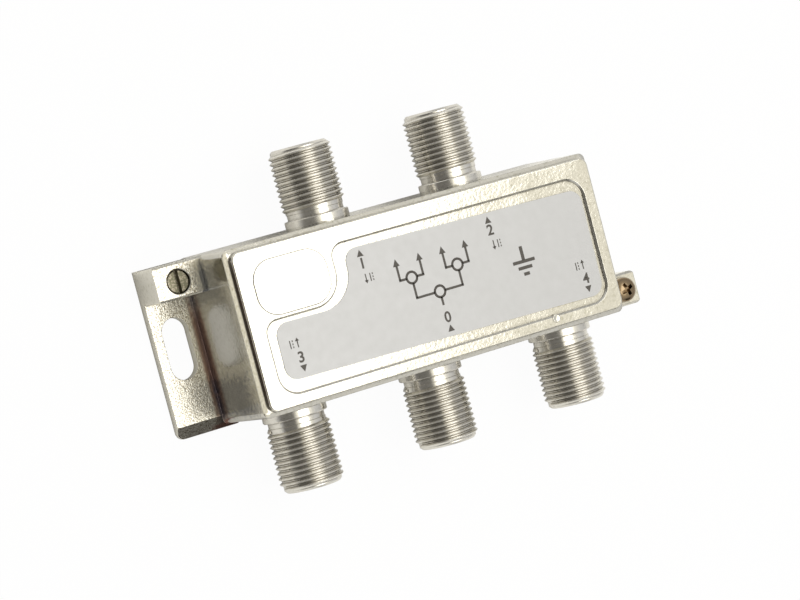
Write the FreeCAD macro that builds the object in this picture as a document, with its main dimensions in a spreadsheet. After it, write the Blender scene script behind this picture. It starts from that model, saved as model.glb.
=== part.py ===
"""Four-way aerial splitter: a die-cast housing with five threaded ports, and what it holds inside.

Millimetres, +Z up. The splitter lies on its back. X runs along the case from the mounting tab
to the earth lug, and +Y points out of the side with two ports. The origin is the middle of the
case on the plane that it rests on.
"""
import FreeCAD
import Part
import Sketcher
import math
import os

PARTS_FOLDER = "parts"
STRAIGHT = 1e-4

# Every size that can be set by itself, in millimetres and degrees.
SIZES = {
    # Case; it ends a margin beyond the axes of the outer ports, and the panel lies within a ledge
    "end_margin": 8.05,
    "case_width": 25.3,
    "case_height": 18.0,
    "case_wall": 1.9,
    "case_draft": 0.8,
    "case_corner": 1.2,
    "panel_step": 1.4,
    "panel_ledge": 0.9,
    "panel_corner": 1.3,
    "panel_rim": 0.25,
    "shoulder_drop": 0.25,
    "shoulder_slope": 70.0,
    "roof_thickness": 1.9,
    # Recess for the label, and the blank raised field beside it
    "recess_depth": 0.5,
    "recess_rim": 0.25,
    "recess_margin_left": 2.5,
    "recess_margin_right": 1.95,
    "recess_margin_top": 2.7,
    "recess_margin_bottom": 1.8,
    "recess_corner": 2.9,
    "notch_left": 14.7,
    "notch_top": 0.9,
    "notch_outer_corner": 1.9,
    "notch_inner_corner": 4.4,
    "field_margin_left": 2.3,
    "field_margin_top": 2.05,
    "field_gap_right": 1.25,
    "field_gap_bottom": 0.6,
    "field_corner": 3.2,
    "field_height": 0.15,
    "field_rim": 0.1,
    # Mounting tab; the tab, block and lug all run a little way into the wall
    "root_depth": 1.5,
    "tab_inset": 0.1,
    "tab_overhang": 0.4,
    "tab_heel": 2.65,
    "tab_reach": 7.35,
    "tab_thickness": 1.7,
    "tab_bevel_run": 1.9,
    "tab_bevel_drop": 1.35,
    "tab_corner": 1.2,
    "slot_length": 9.35,
    "slot_width": 4.25,
    "slot_inset": 3.55,
    # Earth block
    "block_inset": 0.15,
    "block_width": 5.25,
    "block_height": 8.0,
    "block_edge": 0.4,
    "block_rim_edge": 0.3,
    "block_screw_inset": 2.95,
    "block_hole_depth": 7.0,
    "wire_hole_diameter": 2.8,
    "wire_hole_height": 3.2,
    "block_screw_diameter": 3.5,
    "block_screw_length": 2.95,
    "block_screw_sink": 0.4,
    "block_screw_slot": 0.6,
    "block_screw_slot_depth": 0.9,
    "block_screw_point": 0.5,
    "block_rim_chamfer": 0.15,
    # Earth lug
    "lug_reach": 5.6,
    "lug_width": 5.1,
    "lug_inset": 0.4,
    "lug_height": 12.0,
    "lug_edge": 0.5,
    "lug_rim_edge": 0.35,
    "lug_screw_inset": 2.75,
    "lug_screw_diameter": 2.5,
    "lug_screw_length": 6.5,
    "lug_hole_depth": 8.0,
    "lug_head_diameter": 3.8,
    "lug_head_height": 1.7,
    "lug_head_bevel": 0.5,
    "lug_head_gap": 0.15,
    "cross_length": 2.3,
    "cross_width": 0.6,
    "cross_depth": 1.0,
    "thread_gap": 0.05,
    # Ports
    "lower_port_pitch": 23.0,
    "upper_port_pitch": 22.9,
    "port_height": 9.0,
    "port_reach": 24.4,
    "port_diameter": 9.525,
    "collar_diameter": 9.7,
    "collar_reach": 13.8,
    "neck_diameter": 8.5,
    "neck_reach": 14.9,
    "port_chamfer": 0.75,
    "bore_diameter": 6.2,
    "bore_overrun": 0.5,
    # Port insulators and contacts
    "insert_gap": 0.05,
    "insulator_sink": 0.5,
    "insulator_mouth": 1.6,
    "insulator_front": 1.2,
    "contact_diameter": 1.9,
    "contact_bore": 1.2,
    "contact_base": 4.25,
    "contact_setback": 1.65,
    "tail_thickness": 0.5,
    "tail_width": 0.9,
    "tail_overhang": 2.35,
    # Back cover and board
    "rebate_width": 0.9,
    "cover_thickness": 0.8,
    "cover_gap": 0.1,
    "board_thickness": 1.0,
    "board_gap": 0.3,
    "board_seat": 2.0,
    "solder_gap": 0.05,
    # Label, by the bare strip of recess floor that it leaves on each side
    "label_strip_left": 1.45,
    "label_strip_right": 0.45,
    "label_strip_top": 1.3,
    "label_strip_bottom": 1.45,
    "label_strip_notch_x": 1.9,
    "label_strip_notch_y": 1.0,
    "label_corner": 2.0,
    "label_notch_corner": 5.3,
    "label_thickness": 0.1,
    "label_turn": 0.9,
    # Ferrite cores and their windings
    "hybrid_pitch": 15.5,
    "core_spacing": 7.0,
    "core_height": 2.6,
    "core_bevel": 0.5,
    "core_hole_spacing": 1.9,
    "core_hole_diameter": 1.0,
    "core_length": 3.4,
    "winding_width": 0.6,
    "winding_overhang": 0.1,
    # Chip parts
    "resistor_length": 2.0,
    "resistor_width": 1.25,
    "resistor_height": 0.6,
    "capacitor_length": 2.0,
    "capacitor_width": 1.25,
    "capacitor_height": 1.0,
    "choke_length": 3.2,
    "choke_width": 2.5,
    "choke_height": 2.2,
    "diode_length": 2.7,
    "diode_width": 1.6,
    "diode_height": 1.1,
    "output_part_pitch": 3.4,
    "output_row_inset": 4.35,
    "resistor_setback": 2.1,
}

# Lengths that several pieces share, worked out from the sizes above.
CASE_END = "(Sizes.lower_port_pitch + Sizes.end_margin)"
CASE_SIDE = "Sizes.case_width / 2"
TAB_SIDE = "(Sizes.case_width / 2 - Sizes.tab_inset)"
TAB_EDGE = "(Sizes.case_width / 2 + Sizes.tab_overhang)"
TAB_EDGE_TOP = "(Sizes.tab_thickness - Sizes.tab_bevel_drop)"
BLOCK_SIDE = "(Sizes.case_width / 2 - Sizes.block_inset)"
CAVITY_END = f"({CASE_END} - Sizes.case_wall)"
CAVITY_SIDE = "(Sizes.case_width / 2 - Sizes.case_wall)"
REBATE_END = f"({CASE_END} - Sizes.rebate_width)"
REBATE_SIDE = "(Sizes.case_width / 2 - Sizes.rebate_width)"
RECESS_FLOOR = "(Sizes.case_height - Sizes.recess_depth)"
PANEL_END = f"({CASE_END} - Sizes.panel_ledge)"
PANEL_SIDE = f"({CASE_SIDE} - Sizes.panel_ledge)"
RECESS_LEFT = f"({PANEL_END} - Sizes.recess_margin_left)"
RECESS_RIGHT = f"({PANEL_END} - Sizes.recess_margin_right)"
RECESS_TOP = f"({PANEL_SIDE} - Sizes.recess_margin_top)"
RECESS_BOTTOM = f"({PANEL_SIDE} - Sizes.recess_margin_bottom)"
SHOULDER = "(Sizes.case_height - Sizes.panel_step)"
WALL_TOP = f"({SHOULDER} - Sizes.shoulder_drop)"
BOARD_UNDERSIDE = "(Sizes.port_height + Sizes.tail_thickness / 2 + Sizes.solder_gap)"
BOARD_TOP = f"({BOARD_UNDERSIDE} + Sizes.board_thickness)"
CONTACT_BACK = f"({CAVITY_SIDE} + Sizes.contact_setback)"
CONTACT_FRONT = (
    "(Sizes.port_reach - Sizes.insulator_sink - Sizes.insulator_front - Sizes.insert_gap)"
)
OUTPUT_ROW = f"({CAVITY_SIDE} - Sizes.output_row_inset)"
RESISTOR_ROW = f"({OUTPUT_ROW} - Sizes.resistor_setback)"
BLOCK_SCREW_X = f"-({CASE_END} + Sizes.tab_reach / 2)"
BLOCK_SCREW_Y = "(Sizes.case_width / 2 - Sizes.block_screw_inset)"
LUG_SCREW_X = f"({CASE_END} + Sizes.lug_reach - Sizes.lug_screw_inset)"
LUG_SCREW_Y = "-(Sizes.case_width / 2 - Sizes.lug_inset - Sizes.lug_width / 2)"

doc = FreeCAD.newDocument("splitter")
sheet = doc.addObject("Spreadsheet::Sheet", "Sizes")


def fill_sheet():
    """Write every driving size into the sheet, with its name beside it."""
    for row, (name, number) in enumerate(SIZES.items(), start=1):
        sheet.set(f"A{row}", name)
        sheet.set(f"B{row}", str(number))
        sheet.setAlias(f"B{row}", name)
    doc.recompute()


def size(name):
    """Return one size from the sheet as a plain number."""
    return float(sheet.get(name))


def case_end():
    """Return how far the case reaches along X: a margin beyond the outer ports' axes."""
    return size("lower_port_pitch") + size("end_margin")


def new_body(name):
    """Start a sub-part, labelled with the name of its file."""
    body = doc.addObject("PartDesign::Body", name)
    body.Label = name
    return body


def place(piece, x="0", y="0", z="0", turn=0.0):
    """Set a sub-part's place by expressions, turned about Z by a number of degrees."""
    piece.Placement = FreeCAD.Placement(
        FreeCAD.Vector(0, 0, 0), FreeCAD.Rotation(FreeCAD.Vector(0, 0, 1), turn)
    )
    piece.setExpression("Placement.Base.x", x)
    piece.setExpression("Placement.Base.y", y)
    piece.setExpression("Placement.Base.z", z)


def new_sketch(body, name, plane="XY_Plane", offset="0", middle=("0", "0")):
    """Attach a sketch to one of the body's own origin planes.

    It is moved along the plane's normal by offset, and its own origin lies at middle.
    """
    sketch = body.newObject("Sketcher::SketchObject", name)
    planes = {feature.Role: feature for feature in body.Origin.OriginFeatures}
    sketch.AttachmentSupport = [(planes[plane], "")]
    sketch.MapMode = "FlatFace"
    sketch.setExpression("AttachmentOffset.Base.x", middle[0])
    sketch.setExpression("AttachmentOffset.Base.y", middle[1])
    sketch.setExpression("AttachmentOffset.Base.z", offset)
    return sketch


def bind(sketch, kind, args, expression, start=1.0):
    """Add a dimension to a sketch and bind it to an expression."""
    index = sketch.addConstraint(Sketcher.Constraint(kind, *args, start))
    sketch.setExpression(f"Constraints[{index}]", expression)


def bind_point(sketch, geometry, vertex, x, y):
    """Tie one vertex of a sketch to signed distances from the sketch's origin."""
    bind(sketch, "DistanceX", (-1, 1, geometry, vertex), x)
    bind(sketch, "DistanceY", (-1, 1, geometry, vertex), y)


def draw_polygon(sketch, points):
    """Draw a closed outline whose corners are pairs of expressions."""
    count = len(points)
    ring = []
    for index in range(count):
        turn = 2.0 * math.pi * index / count
        ring.append(FreeCAD.Vector(10.0 * math.cos(turn), 10.0 * math.sin(turn), 0))
    first = sketch.GeometryCount
    for index in range(count):
        sketch.addGeometry(Part.LineSegment(ring[index], ring[(index + 1) % count]), False)
    for index in range(count):
        after = first + (index + 1) % count
        sketch.addConstraint(Sketcher.Constraint("Coincident", first + index, 2, after, 1))
    for index, (x, y) in enumerate(points):
        bind_point(sketch, first + index, 1, x, y)


def draw_rectangle(sketch, left, right, bottom, top):
    """Draw a rectangle between four expressions."""
    draw_polygon(sketch, [(left, bottom), (right, bottom), (right, top), (left, top)])


def draw_circle(sketch, x, y, diameter):
    """Draw a circle at a pair of expressions."""
    index = sketch.addGeometry(
        Part.Circle(FreeCAD.Vector(1, 1, 0), FreeCAD.Vector(0, 0, 1), 1.0), False
    )
    bind_point(sketch, index, 3, x, y)
    bind(sketch, "Diameter", (index,), diameter)


def draw_rounded_rectangle(sketch, half_length, half_width, radius):
    """Draw a rectangle with equal rounded corners about the sketch's origin."""
    first = sketch.GeometryCount
    up = FreeCAD.Vector(0, 0, 1)
    corners = [(8, 3, 0.0), (-8, 3, 0.5), (-8, -3, 1.0), (8, -3, 1.5)]
    for x, y, turns in corners:
        circle = Part.Circle(FreeCAD.Vector(x, y, 0), up, 2.0)
        arc = Part.ArcOfCircle(circle, turns * math.pi, (turns + 0.5) * math.pi)
        sketch.addGeometry(arc, False)
    sides = [((8, 5), (-8, 5)), ((-10, 3), (-10, -3)), ((-8, -5), (8, -5)), ((10, -3), (10, 3))]
    for start, end in sides:
        line = Part.LineSegment(FreeCAD.Vector(*start, 0), FreeCAD.Vector(*end, 0))
        sketch.addGeometry(line, False)
    for index in range(4):
        arc, side, after = first + index, first + 4 + index, first + (index + 1) % 4
        sketch.addConstraint(Sketcher.Constraint("Tangent", arc, 2, side, 1))
        sketch.addConstraint(Sketcher.Constraint("Tangent", side, 2, after, 1))
        kind = "Horizontal" if index % 2 == 0 else "Vertical"
        sketch.addConstraint(Sketcher.Constraint(kind, side))
        if index > 0:
            sketch.addConstraint(Sketcher.Constraint("Equal", first, arc))
    bind(sketch, "DistanceX", (-1, 1, first, 3), f"{half_length} - {radius}", 8.0)
    bind(sketch, "DistanceY", (-1, 1, first, 3), f"{half_width} - {radius}", 3.0)
    bind(sketch, "DistanceX", (first + 2, 3, -1, 1), f"{half_length} - {radius}", 8.0)
    bind(sketch, "DistanceY", (first + 2, 3, -1, 1), f"{half_width} - {radius}", 3.0)
    bind(sketch, "Radius", (first,), radius, 2.0)


def draw_obround(sketch, half_straight, radius):
    """Draw an obround along the sketch's second axis: two equal half circles and two lines."""
    first = sketch.GeometryCount
    up = FreeCAD.Vector(0, 0, 1)
    top = Part.Circle(FreeCAD.Vector(0, 5, 0), up, 2.0)
    bottom = Part.Circle(FreeCAD.Vector(0, -5, 0), up, 2.0)
    sketch.addGeometry(Part.ArcOfCircle(top, 0, math.pi), False)
    sketch.addGeometry(Part.LineSegment(FreeCAD.Vector(-2, 5, 0), FreeCAD.Vector(-2, -5, 0)), False)
    sketch.addGeometry(Part.ArcOfCircle(bottom, math.pi, 2 * math.pi), False)
    sketch.addGeometry(Part.LineSegment(FreeCAD.Vector(2, -5, 0), FreeCAD.Vector(2, 5, 0)), False)
    for index in range(4):
        after = first + (index + 1) % 4
        sketch.addConstraint(Sketcher.Constraint("Tangent", first + index, 2, after, 1))
    sketch.addConstraint(Sketcher.Constraint("Equal", first, first + 2))
    sketch.addConstraint(Sketcher.Constraint("PointOnObject", first, 3, -2))
    sketch.addConstraint(Sketcher.Constraint("PointOnObject", first + 2, 3, -2))
    bind(sketch, "DistanceY", (-1, 1, first, 3), half_straight, 5.0)
    bind(sketch, "DistanceY", (first + 2, 3, -1, 1), half_straight, 5.0)
    bind(sketch, "Radius", (first,), radius, 2.0)


def settle(feature):
    """Work a new feature out, and refuse it if it failed."""
    doc.recompute()
    if "Invalid" in feature.State or feature.Shape.isNull():
        raise RuntimeError(f"{feature.Name} failed")
    return feature


def pad(body, sketch, name, length, taper=None):
    """Extrude a sketch along its normal and add it to the body."""
    feature = body.newObject("PartDesign::Pad", name)
    feature.Profile = sketch
    feature.setExpression("Length", length)
    if taper is not None:
        feature.setExpression("TaperAngle", taper)
    return settle(feature)


def pocket(body, sketch, name, length, against_normal=True):
    """Cut a sketch out of the body, to a depth, and check that it has cut something."""
    before = body.Shape.Volume
    feature = body.newObject("PartDesign::Pocket", name)
    feature.Profile = sketch
    feature.setExpression("Length", length)
    feature.Reversed = not against_normal
    settle(feature)
    if body.Shape.Volume > before - STRAIGHT:
        raise RuntimeError(f"{name} cuts nothing")
    return feature


def pocket_through(body, sketch, name):
    """Cut a sketch out of the body on both sides of its plane."""
    before = body.Shape.Volume
    feature = body.newObject("PartDesign::Pocket", name)
    feature.Profile = sketch
    feature.Type = "ThroughAll"
    feature.SideType = "Symmetric"
    settle(feature)
    if body.Shape.Volume > before - STRAIGHT:
        raise RuntimeError(f"{name} cuts nothing")
    return feature


def revolve(body, sketch, name, kind="PartDesign::Revolution"):
    """Turn a profile about its sketch's second axis, to add or to cut a round form."""
    feature = body.newObject(kind, name)
    feature.Profile = sketch
    feature.ReferenceAxis = (sketch, ["V_Axis"])
    feature.Angle = 360
    return settle(feature)


def repeat_along_x(body, feature, name, length, count):
    """Repeat a feature along X over a length."""
    pattern = body.newObject("PartDesign::LinearPattern", name)
    axes = {item.Role: item for item in body.Origin.OriginFeatures}
    pattern.Originals = [feature]
    pattern.Direction = (axes["X_Axis"], [""])
    pattern.Mode = "Extent"
    pattern.setExpression("Length", length)
    pattern.Occurrences = count
    body.Tip = pattern
    return settle(pattern)


def edge_names(shape, test):
    """Return the names of the edges that pass a test."""
    return [f"Edge{index}" for index, edge in enumerate(shape.Edges, start=1) if test(edge)]


def is_upright(edge, bottom, top, x=None, y=None, reach=0.6):
    """Tell whether an edge rises from one height to another, near a corner in plan."""
    box = edge.BoundBox
    if abs(box.ZMin - bottom) > 0.02 or abs(box.ZMax - top) > 0.02:
        return False
    if x is not None and abs(box.Center.x - x) > reach:
        return False
    if y is not None and abs(box.Center.y - y) > reach:
        return False
    return box.XLength < reach and box.YLength < reach


def is_level(edge, height):
    """Tell whether an edge lies at one height."""
    box = edge.BoundBox
    return abs(box.ZMin - height) < 0.001 and abs(box.ZMax - height) < 0.001


def round_edges(body, name, radius, test):
    """Round the edges of the body's last feature that pass a test."""
    base = body.Tip
    names = edge_names(base.Shape, test)
    if not names:
        raise RuntimeError(f"{name} finds no edge")
    feature = body.newObject("PartDesign::Fillet", name)
    feature.Base = (base, names)
    feature.setExpression("Radius", radius)
    return settle(feature)


def bevel_edges(body, name, width, test):
    """Bevel the edges of the body's last feature that pass a test."""
    base = body.Tip
    names = edge_names(base.Shape, test)
    if not names:
        raise RuntimeError(f"{name} finds no edge")
    feature = body.newObject("PartDesign::Chamfer", name)
    feature.Base = (base, names)
    feature.setExpression("Size", width)
    return settle(feature)


# Housing


def case_block(body):
    """The case with its draft, its sloping shoulder, and the raised panel on top."""
    outline = new_sketch(body, "case_outline")
    draw_rounded_rectangle(outline, CASE_END, CASE_SIDE, "Sizes.case_corner")
    pad(body, outline, "case_pad", WALL_TOP, "-Sizes.case_draft")
    drawn_in = f"{WALL_TOP} * tan(Sizes.case_draft)"
    shoulder = new_sketch(body, "shoulder_outline", offset=WALL_TOP)
    draw_rounded_rectangle(
        shoulder,
        f"({CASE_END} - {drawn_in})",
        f"({CASE_SIDE} - {drawn_in})",
        f"(Sizes.case_corner - {drawn_in})",
    )
    pad(body, shoulder, "shoulder_pad", "Sizes.shoulder_drop", "-Sizes.shoulder_slope")
    panel = new_sketch(body, "panel_outline", offset=WALL_TOP)
    draw_rounded_rectangle(
        panel,
        PANEL_END,
        PANEL_SIDE,
        "Sizes.panel_corner",
    )
    pad(body, panel, "panel_pad", "Sizes.panel_step + Sizes.shoulder_drop")
    top = size("case_height")
    round_edges(body, "panel_rim", "Sizes.panel_rim", lambda edge: is_level(edge, top))


def mounting_tab(body):
    """The tab at the -X end, bevelled along its -Y side, with its obround slot."""
    profile = new_sketch(body, "tab_profile", "YZ_Plane", f"-{CASE_END} - Sizes.tab_reach")
    draw_polygon(
        profile,
        [
            (f"-{TAB_EDGE}", "0"),
            (TAB_SIDE, "0"),
            (TAB_SIDE, "Sizes.tab_thickness"),
            (f"-{TAB_EDGE} + Sizes.tab_bevel_run", "Sizes.tab_thickness"),
            (f"-{TAB_EDGE}", TAB_EDGE_TOP),
        ],
    )
    pad(body, profile, "tab_pad", "Sizes.tab_reach + Sizes.root_depth")
    end = -case_end() - size("tab_reach")
    side = -size("case_width") / 2 - size("tab_overhang")
    low = size("tab_thickness") - size("tab_bevel_drop")
    round_edges(
        body,
        "tab_corner",
        "Sizes.tab_corner",
        lambda edge: is_upright(edge, 0, low, end, side, 0.05),
    )


def tab_heel(body):
    """The stretch of the tab's overhanging edge that runs on along the case's -Y wall."""
    profile = new_sketch(body, "heel_profile", "YZ_Plane", f"-{CASE_END}")
    inner = f"({CASE_SIDE} - Sizes.case_wall / 2)"
    slope = "Sizes.tab_bevel_drop / Sizes.tab_bevel_run"
    draw_polygon(
        profile,
        [
            (f"-{TAB_EDGE}", "0"),
            (f"-{inner}", "0"),
            (f"-{inner}", f"{TAB_EDGE_TOP} + ({TAB_EDGE} - {inner}) * {slope}"),
            (f"-{TAB_EDGE}", TAB_EDGE_TOP),
        ],
    )
    pad(body, profile, "heel_pad", "Sizes.tab_heel")


def tab_slot(body):
    """The obround slot for the wall screw."""
    middle = f"-({CASE_END} + Sizes.tab_reach - Sizes.slot_inset)"
    slot = new_sketch(body, "slot_outline", middle=(middle, "0"))
    draw_obround(slot, "(Sizes.slot_length - Sizes.slot_width) / 2", "Sizes.slot_width / 2")
    pocket_through(body, slot, "slot_cut")


def draw_bevelled_end(sketch, low, high, top, bevel):
    """Draw the end view of a block whose two top edges are bevelled."""
    draw_polygon(
        sketch,
        [
            (low, "0"),
            (high, "0"),
            (high, f"{top} - {bevel}"),
            (f"{high} - {bevel}", top),
            (f"{low} + {bevel}", top),
            (low, f"{top} - {bevel}"),
        ],
    )


def earth_block(body):
    """The block at the +Y end of the tab."""
    outline = new_sketch(body, "block_outline", "YZ_Plane", f"-{CASE_END} - Sizes.tab_reach")
    inner = f"({BLOCK_SIDE} - Sizes.block_width)"
    draw_bevelled_end(
        outline, inner, BLOCK_SIDE, "Sizes.block_height", "Sizes.block_rim_edge"
    )
    pad(body, outline, "block_pad", "Sizes.tab_reach + Sizes.root_depth")
    shoulder = size("block_height") - size("block_rim_edge")
    end = -case_end() - size("tab_reach")

    def is_corner(edge):
        box = edge.BoundBox
        return box.XMax < end + 0.01 and abs(box.ZMax - shoulder) < 0.01 and box.ZLength > 1.0

    round_edges(body, "block_corners", "Sizes.block_edge", is_corner)


def block_holes(body):
    """The wire hole along Y and the tapped hole that crosses it from above."""
    wire = new_sketch(body, "wire_hole_outline", "XZ_Plane")
    draw_circle(wire, BLOCK_SCREW_X, "Sizes.wire_hole_height", "Sizes.wire_hole_diameter")
    pocket_through(body, wire, "wire_hole")
    tapped = new_sketch(body, "block_thread_outline", offset="Sizes.block_height")
    draw_circle(
        tapped, BLOCK_SCREW_X, BLOCK_SCREW_Y, "Sizes.block_screw_diameter + 2 * Sizes.thread_gap"
    )
    pocket(body, tapped, "block_thread", "Sizes.block_hole_depth")
    top = size("block_height")
    radius = size("block_screw_diameter") / 2 + size("thread_gap")

    def is_mouth(edge):
        box = edge.BoundBox
        return is_level(edge, top) and box.XMax < 0 and abs(box.XLength - 2 * radius) < 0.01

    bevel_edges(body, "block_mouth", "Sizes.block_rim_chamfer", is_mouth)


def earth_lug(body):
    """The lug at the -Y end of the +X side, with the tapped hole for its screw."""
    outline = new_sketch(body, "lug_outline", "YZ_Plane", f"{CASE_END} - Sizes.root_depth")
    outer = f"-({CASE_SIDE} - Sizes.lug_inset)"
    inner = f"-({CASE_SIDE} - Sizes.lug_inset - Sizes.lug_width)"
    draw_bevelled_end(outline, outer, inner, "Sizes.lug_height", "Sizes.lug_rim_edge")
    pad(body, outline, "lug_pad", "Sizes.lug_reach + Sizes.root_depth")
    shoulder = size("lug_height") - size("lug_rim_edge")
    end = case_end() + size("lug_reach")
    round_edges(
        body,
        "lug_corners",
        "Sizes.lug_edge",
        lambda edge: is_upright(edge, 0, shoulder) and edge.BoundBox.XMin > end - 0.01,
    )
    tapped = new_sketch(body, "lug_thread_outline", offset="Sizes.lug_height")
    draw_circle(
        tapped, LUG_SCREW_X, LUG_SCREW_Y, "Sizes.lug_screw_diameter + 2 * Sizes.thread_gap"
    )
    pocket(body, tapped, "lug_thread", "Sizes.lug_hole_depth")


def port_profile(body, name, x, side):
    """Half the outline of a port barrel, drawn beside the port's own axis."""
    sketch = new_sketch(body, name, offset="Sizes.port_height", middle=(x, "0"))
    inner = f"({CASE_SIDE} - Sizes.case_wall / 2)"
    outline = [
        ("0", inner),
        ("Sizes.collar_diameter / 2", inner),
        ("Sizes.collar_diameter / 2", "Sizes.collar_reach"),
        ("Sizes.neck_diameter / 2", "Sizes.collar_reach"),
        ("Sizes.neck_diameter / 2", "Sizes.neck_reach"),
        ("Sizes.port_diameter / 2", "Sizes.neck_reach"),
        ("Sizes.port_diameter / 2", "(Sizes.port_reach - Sizes.port_chamfer)"),
        ("(Sizes.port_diameter / 2 - Sizes.port_chamfer)", "Sizes.port_reach"),
        ("0", "Sizes.port_reach"),
    ]
    draw_polygon(sketch, [(radius, f"{side} * {y}") for radius, y in outline])
    return sketch


def bore_profile(body, name, x, side):
    """Half the outline of a port's bore, from inside the wall to past the barrel's end."""
    sketch = new_sketch(body, name, offset="Sizes.port_height", middle=(x, "0"))
    near = f"{side} * ({CAVITY_SIDE} - Sizes.bore_overrun)"
    far = f"{side} * (Sizes.port_reach + Sizes.bore_overrun)"
    draw_rectangle(sketch, "0", "Sizes.bore_diameter / 2", near, far)
    return sketch


def port_barrels(body):
    """Three barrels on the -Y side and two on the +Y side."""
    lower = port_profile(body, "lower_port_profile", "-Sizes.lower_port_pitch", -1)
    barrel = revolve(body, lower, "lower_port")
    repeat_along_x(body, barrel, "lower_ports", "2 * Sizes.lower_port_pitch", 3)
    upper = port_profile(body, "upper_port_profile", "-Sizes.upper_port_pitch / 2", 1)
    barrel = revolve(body, upper, "upper_port")
    repeat_along_x(body, barrel, "upper_ports", "Sizes.upper_port_pitch", 2)


def port_bores(body):
    """The bores through the barrels and walls."""
    before = body.Shape.Volume
    lower = bore_profile(body, "lower_bore_profile", "-Sizes.lower_port_pitch", -1)
    bore = revolve(body, lower, "lower_bore", "PartDesign::Groove")
    repeat_along_x(body, bore, "lower_bores", "2 * Sizes.lower_port_pitch", 3)
    upper = bore_profile(body, "upper_bore_profile", "-Sizes.upper_port_pitch / 2", 1)
    bore = revolve(body, upper, "upper_bore", "PartDesign::Groove")
    repeat_along_x(body, bore, "upper_bores", "Sizes.upper_port_pitch", 2)
    if body.Shape.Volume > before - 1.0:
        raise RuntimeError("the port bores cut nothing")


def cavity(body):
    """The hollow that is open at the back: a rebate, the chamber, and the part above the board."""
    rebate = new_sketch(body, "rebate_outline")
    draw_rectangle(rebate, f"-{REBATE_END}", REBATE_END, f"-{REBATE_SIDE}", REBATE_SIDE)
    pocket(body, rebate, "rebate", "Sizes.cover_thickness", against_normal=False)
    chamber = new_sketch(body, "chamber_outline")
    draw_rectangle(chamber, f"-{CAVITY_END}", CAVITY_END, f"-{CAVITY_SIDE}", CAVITY_SIDE)
    pocket(body, chamber, "chamber", BOARD_TOP, against_normal=False)
    upper = new_sketch(body, "upper_chamber_outline")
    draw_rectangle(
        upper,
        f"-({CAVITY_END} - Sizes.board_seat)",
        f"({CAVITY_END} - Sizes.board_seat)",
        f"-{CAVITY_SIDE}",
        CAVITY_SIDE,
    )
    roof = f"{RECESS_FLOOR} - Sizes.roof_thickness"
    pocket(body, upper, "upper_chamber", roof, against_normal=False)


def label_recess(body):
    """The recess for the label, whose upper left corner goes round the blank field."""
    outline = new_sketch(body, "recess_outline", offset="Sizes.case_height")
    draw_polygon(
        outline,
        [
            (f"-{RECESS_LEFT}", f"-{RECESS_BOTTOM}"),
            (RECESS_RIGHT, f"-{RECESS_BOTTOM}"),
            (RECESS_RIGHT, RECESS_TOP),
            ("-Sizes.notch_left", RECESS_TOP),
            ("-Sizes.notch_left", "Sizes.notch_top"),
            (f"-{RECESS_LEFT}", "Sizes.notch_top"),
        ],
    )
    pocket(body, outline, "recess", "Sizes.recess_depth")
    floor = size("case_height") - size("recess_depth")
    top = size("case_height")
    end = case_end() - size("panel_ledge")
    side = size("case_width") / 2 - size("panel_ledge")
    left, right = size("recess_margin_left") - end, end - size("recess_margin_right")
    high, low = side - size("recess_margin_top"), size("recess_margin_bottom") - side
    notch_x, notch_y = -size("notch_left"), size("notch_top")

    def corner_at(*places):
        return lambda edge: any(is_upright(edge, floor, top, x, y, 0.05) for x, y in places)

    round_edges(
        body,
        "recess_corners",
        "Sizes.recess_corner",
        corner_at((left, low), (right, low), (right, high)),
    )
    round_edges(
        body,
        "notch_outer_corners",
        "Sizes.notch_outer_corner",
        corner_at((left, notch_y), (notch_x, high)),
    )
    round_edges(
        body, "notch_inner_corner", "Sizes.notch_inner_corner", corner_at((notch_x, notch_y))
    )

    def is_recess_rim(edge):
        box = edge.BoundBox
        inside_x = left - 0.01 < box.XMin and box.XMax < right + 0.01
        inside_y = low - 0.01 < box.YMin and box.YMax < high + 0.01
        in_notch = box.XMax < notch_x - 0.01 and box.YMin > notch_y + 0.01
        return is_level(edge, top) and inside_x and inside_y and not in_notch

    bevel_edges(body, "recess_rim", "Sizes.recess_rim", is_recess_rim)


def blank_field(body):
    """The slightly raised field with rounded corners beside the recess."""
    left = f"({PANEL_END} - Sizes.field_margin_left)"
    right = "(Sizes.notch_left + Sizes.field_gap_right)"
    high = f"({PANEL_SIDE} - Sizes.field_margin_top)"
    low = "(Sizes.notch_top + Sizes.field_gap_bottom)"
    middle = (f"-({left} + {right}) / 2", f"({high} + {low}) / 2")
    outline = new_sketch(body, "field_outline", offset="Sizes.case_height", middle=middle)
    draw_rounded_rectangle(
        outline,
        f"({left} - {right}) / 2",
        f"({high} - {low}) / 2",
        f"min(Sizes.field_corner; ({high} - {low}) * 0.45)",
    )
    pad(body, outline, "field_pad", "Sizes.field_height")
    top = size("case_height") + size("field_height")
    bevel_edges(body, "field_rim", "Sizes.field_rim", lambda edge: is_level(edge, top))


def build_housing():
    """The one casting that carries everything."""
    body = new_body("housing")
    case_block(body)
    mounting_tab(body)
    tab_heel(body)
    earth_block(body)
    earth_lug(body)
    tab_slot(body)
    block_holes(body)
    port_barrels(body)
    cavity(body)
    port_bores(body)
    blank_field(body)
    label_recess(body)
    return body


# Back cover, board and label


def build_plate(name, half_length, half_width, thickness, height, corner=None):
    """A flat rectangular plate, with rounded corners where a radius is given."""
    body = new_body(name)
    outline = new_sketch(body, f"{name}_outline")
    draw_rectangle(outline, f"-{half_length}", half_length, f"-{half_width}", half_width)
    pad(body, outline, f"{name}_pad", thickness)
    if corner is not None:
        top = body.Shape.BoundBox.ZMax
        round_edges(body, f"{name}_corners", corner, lambda edge: is_upright(edge, 0, top))
    place(body, z=height)
    return body


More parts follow.
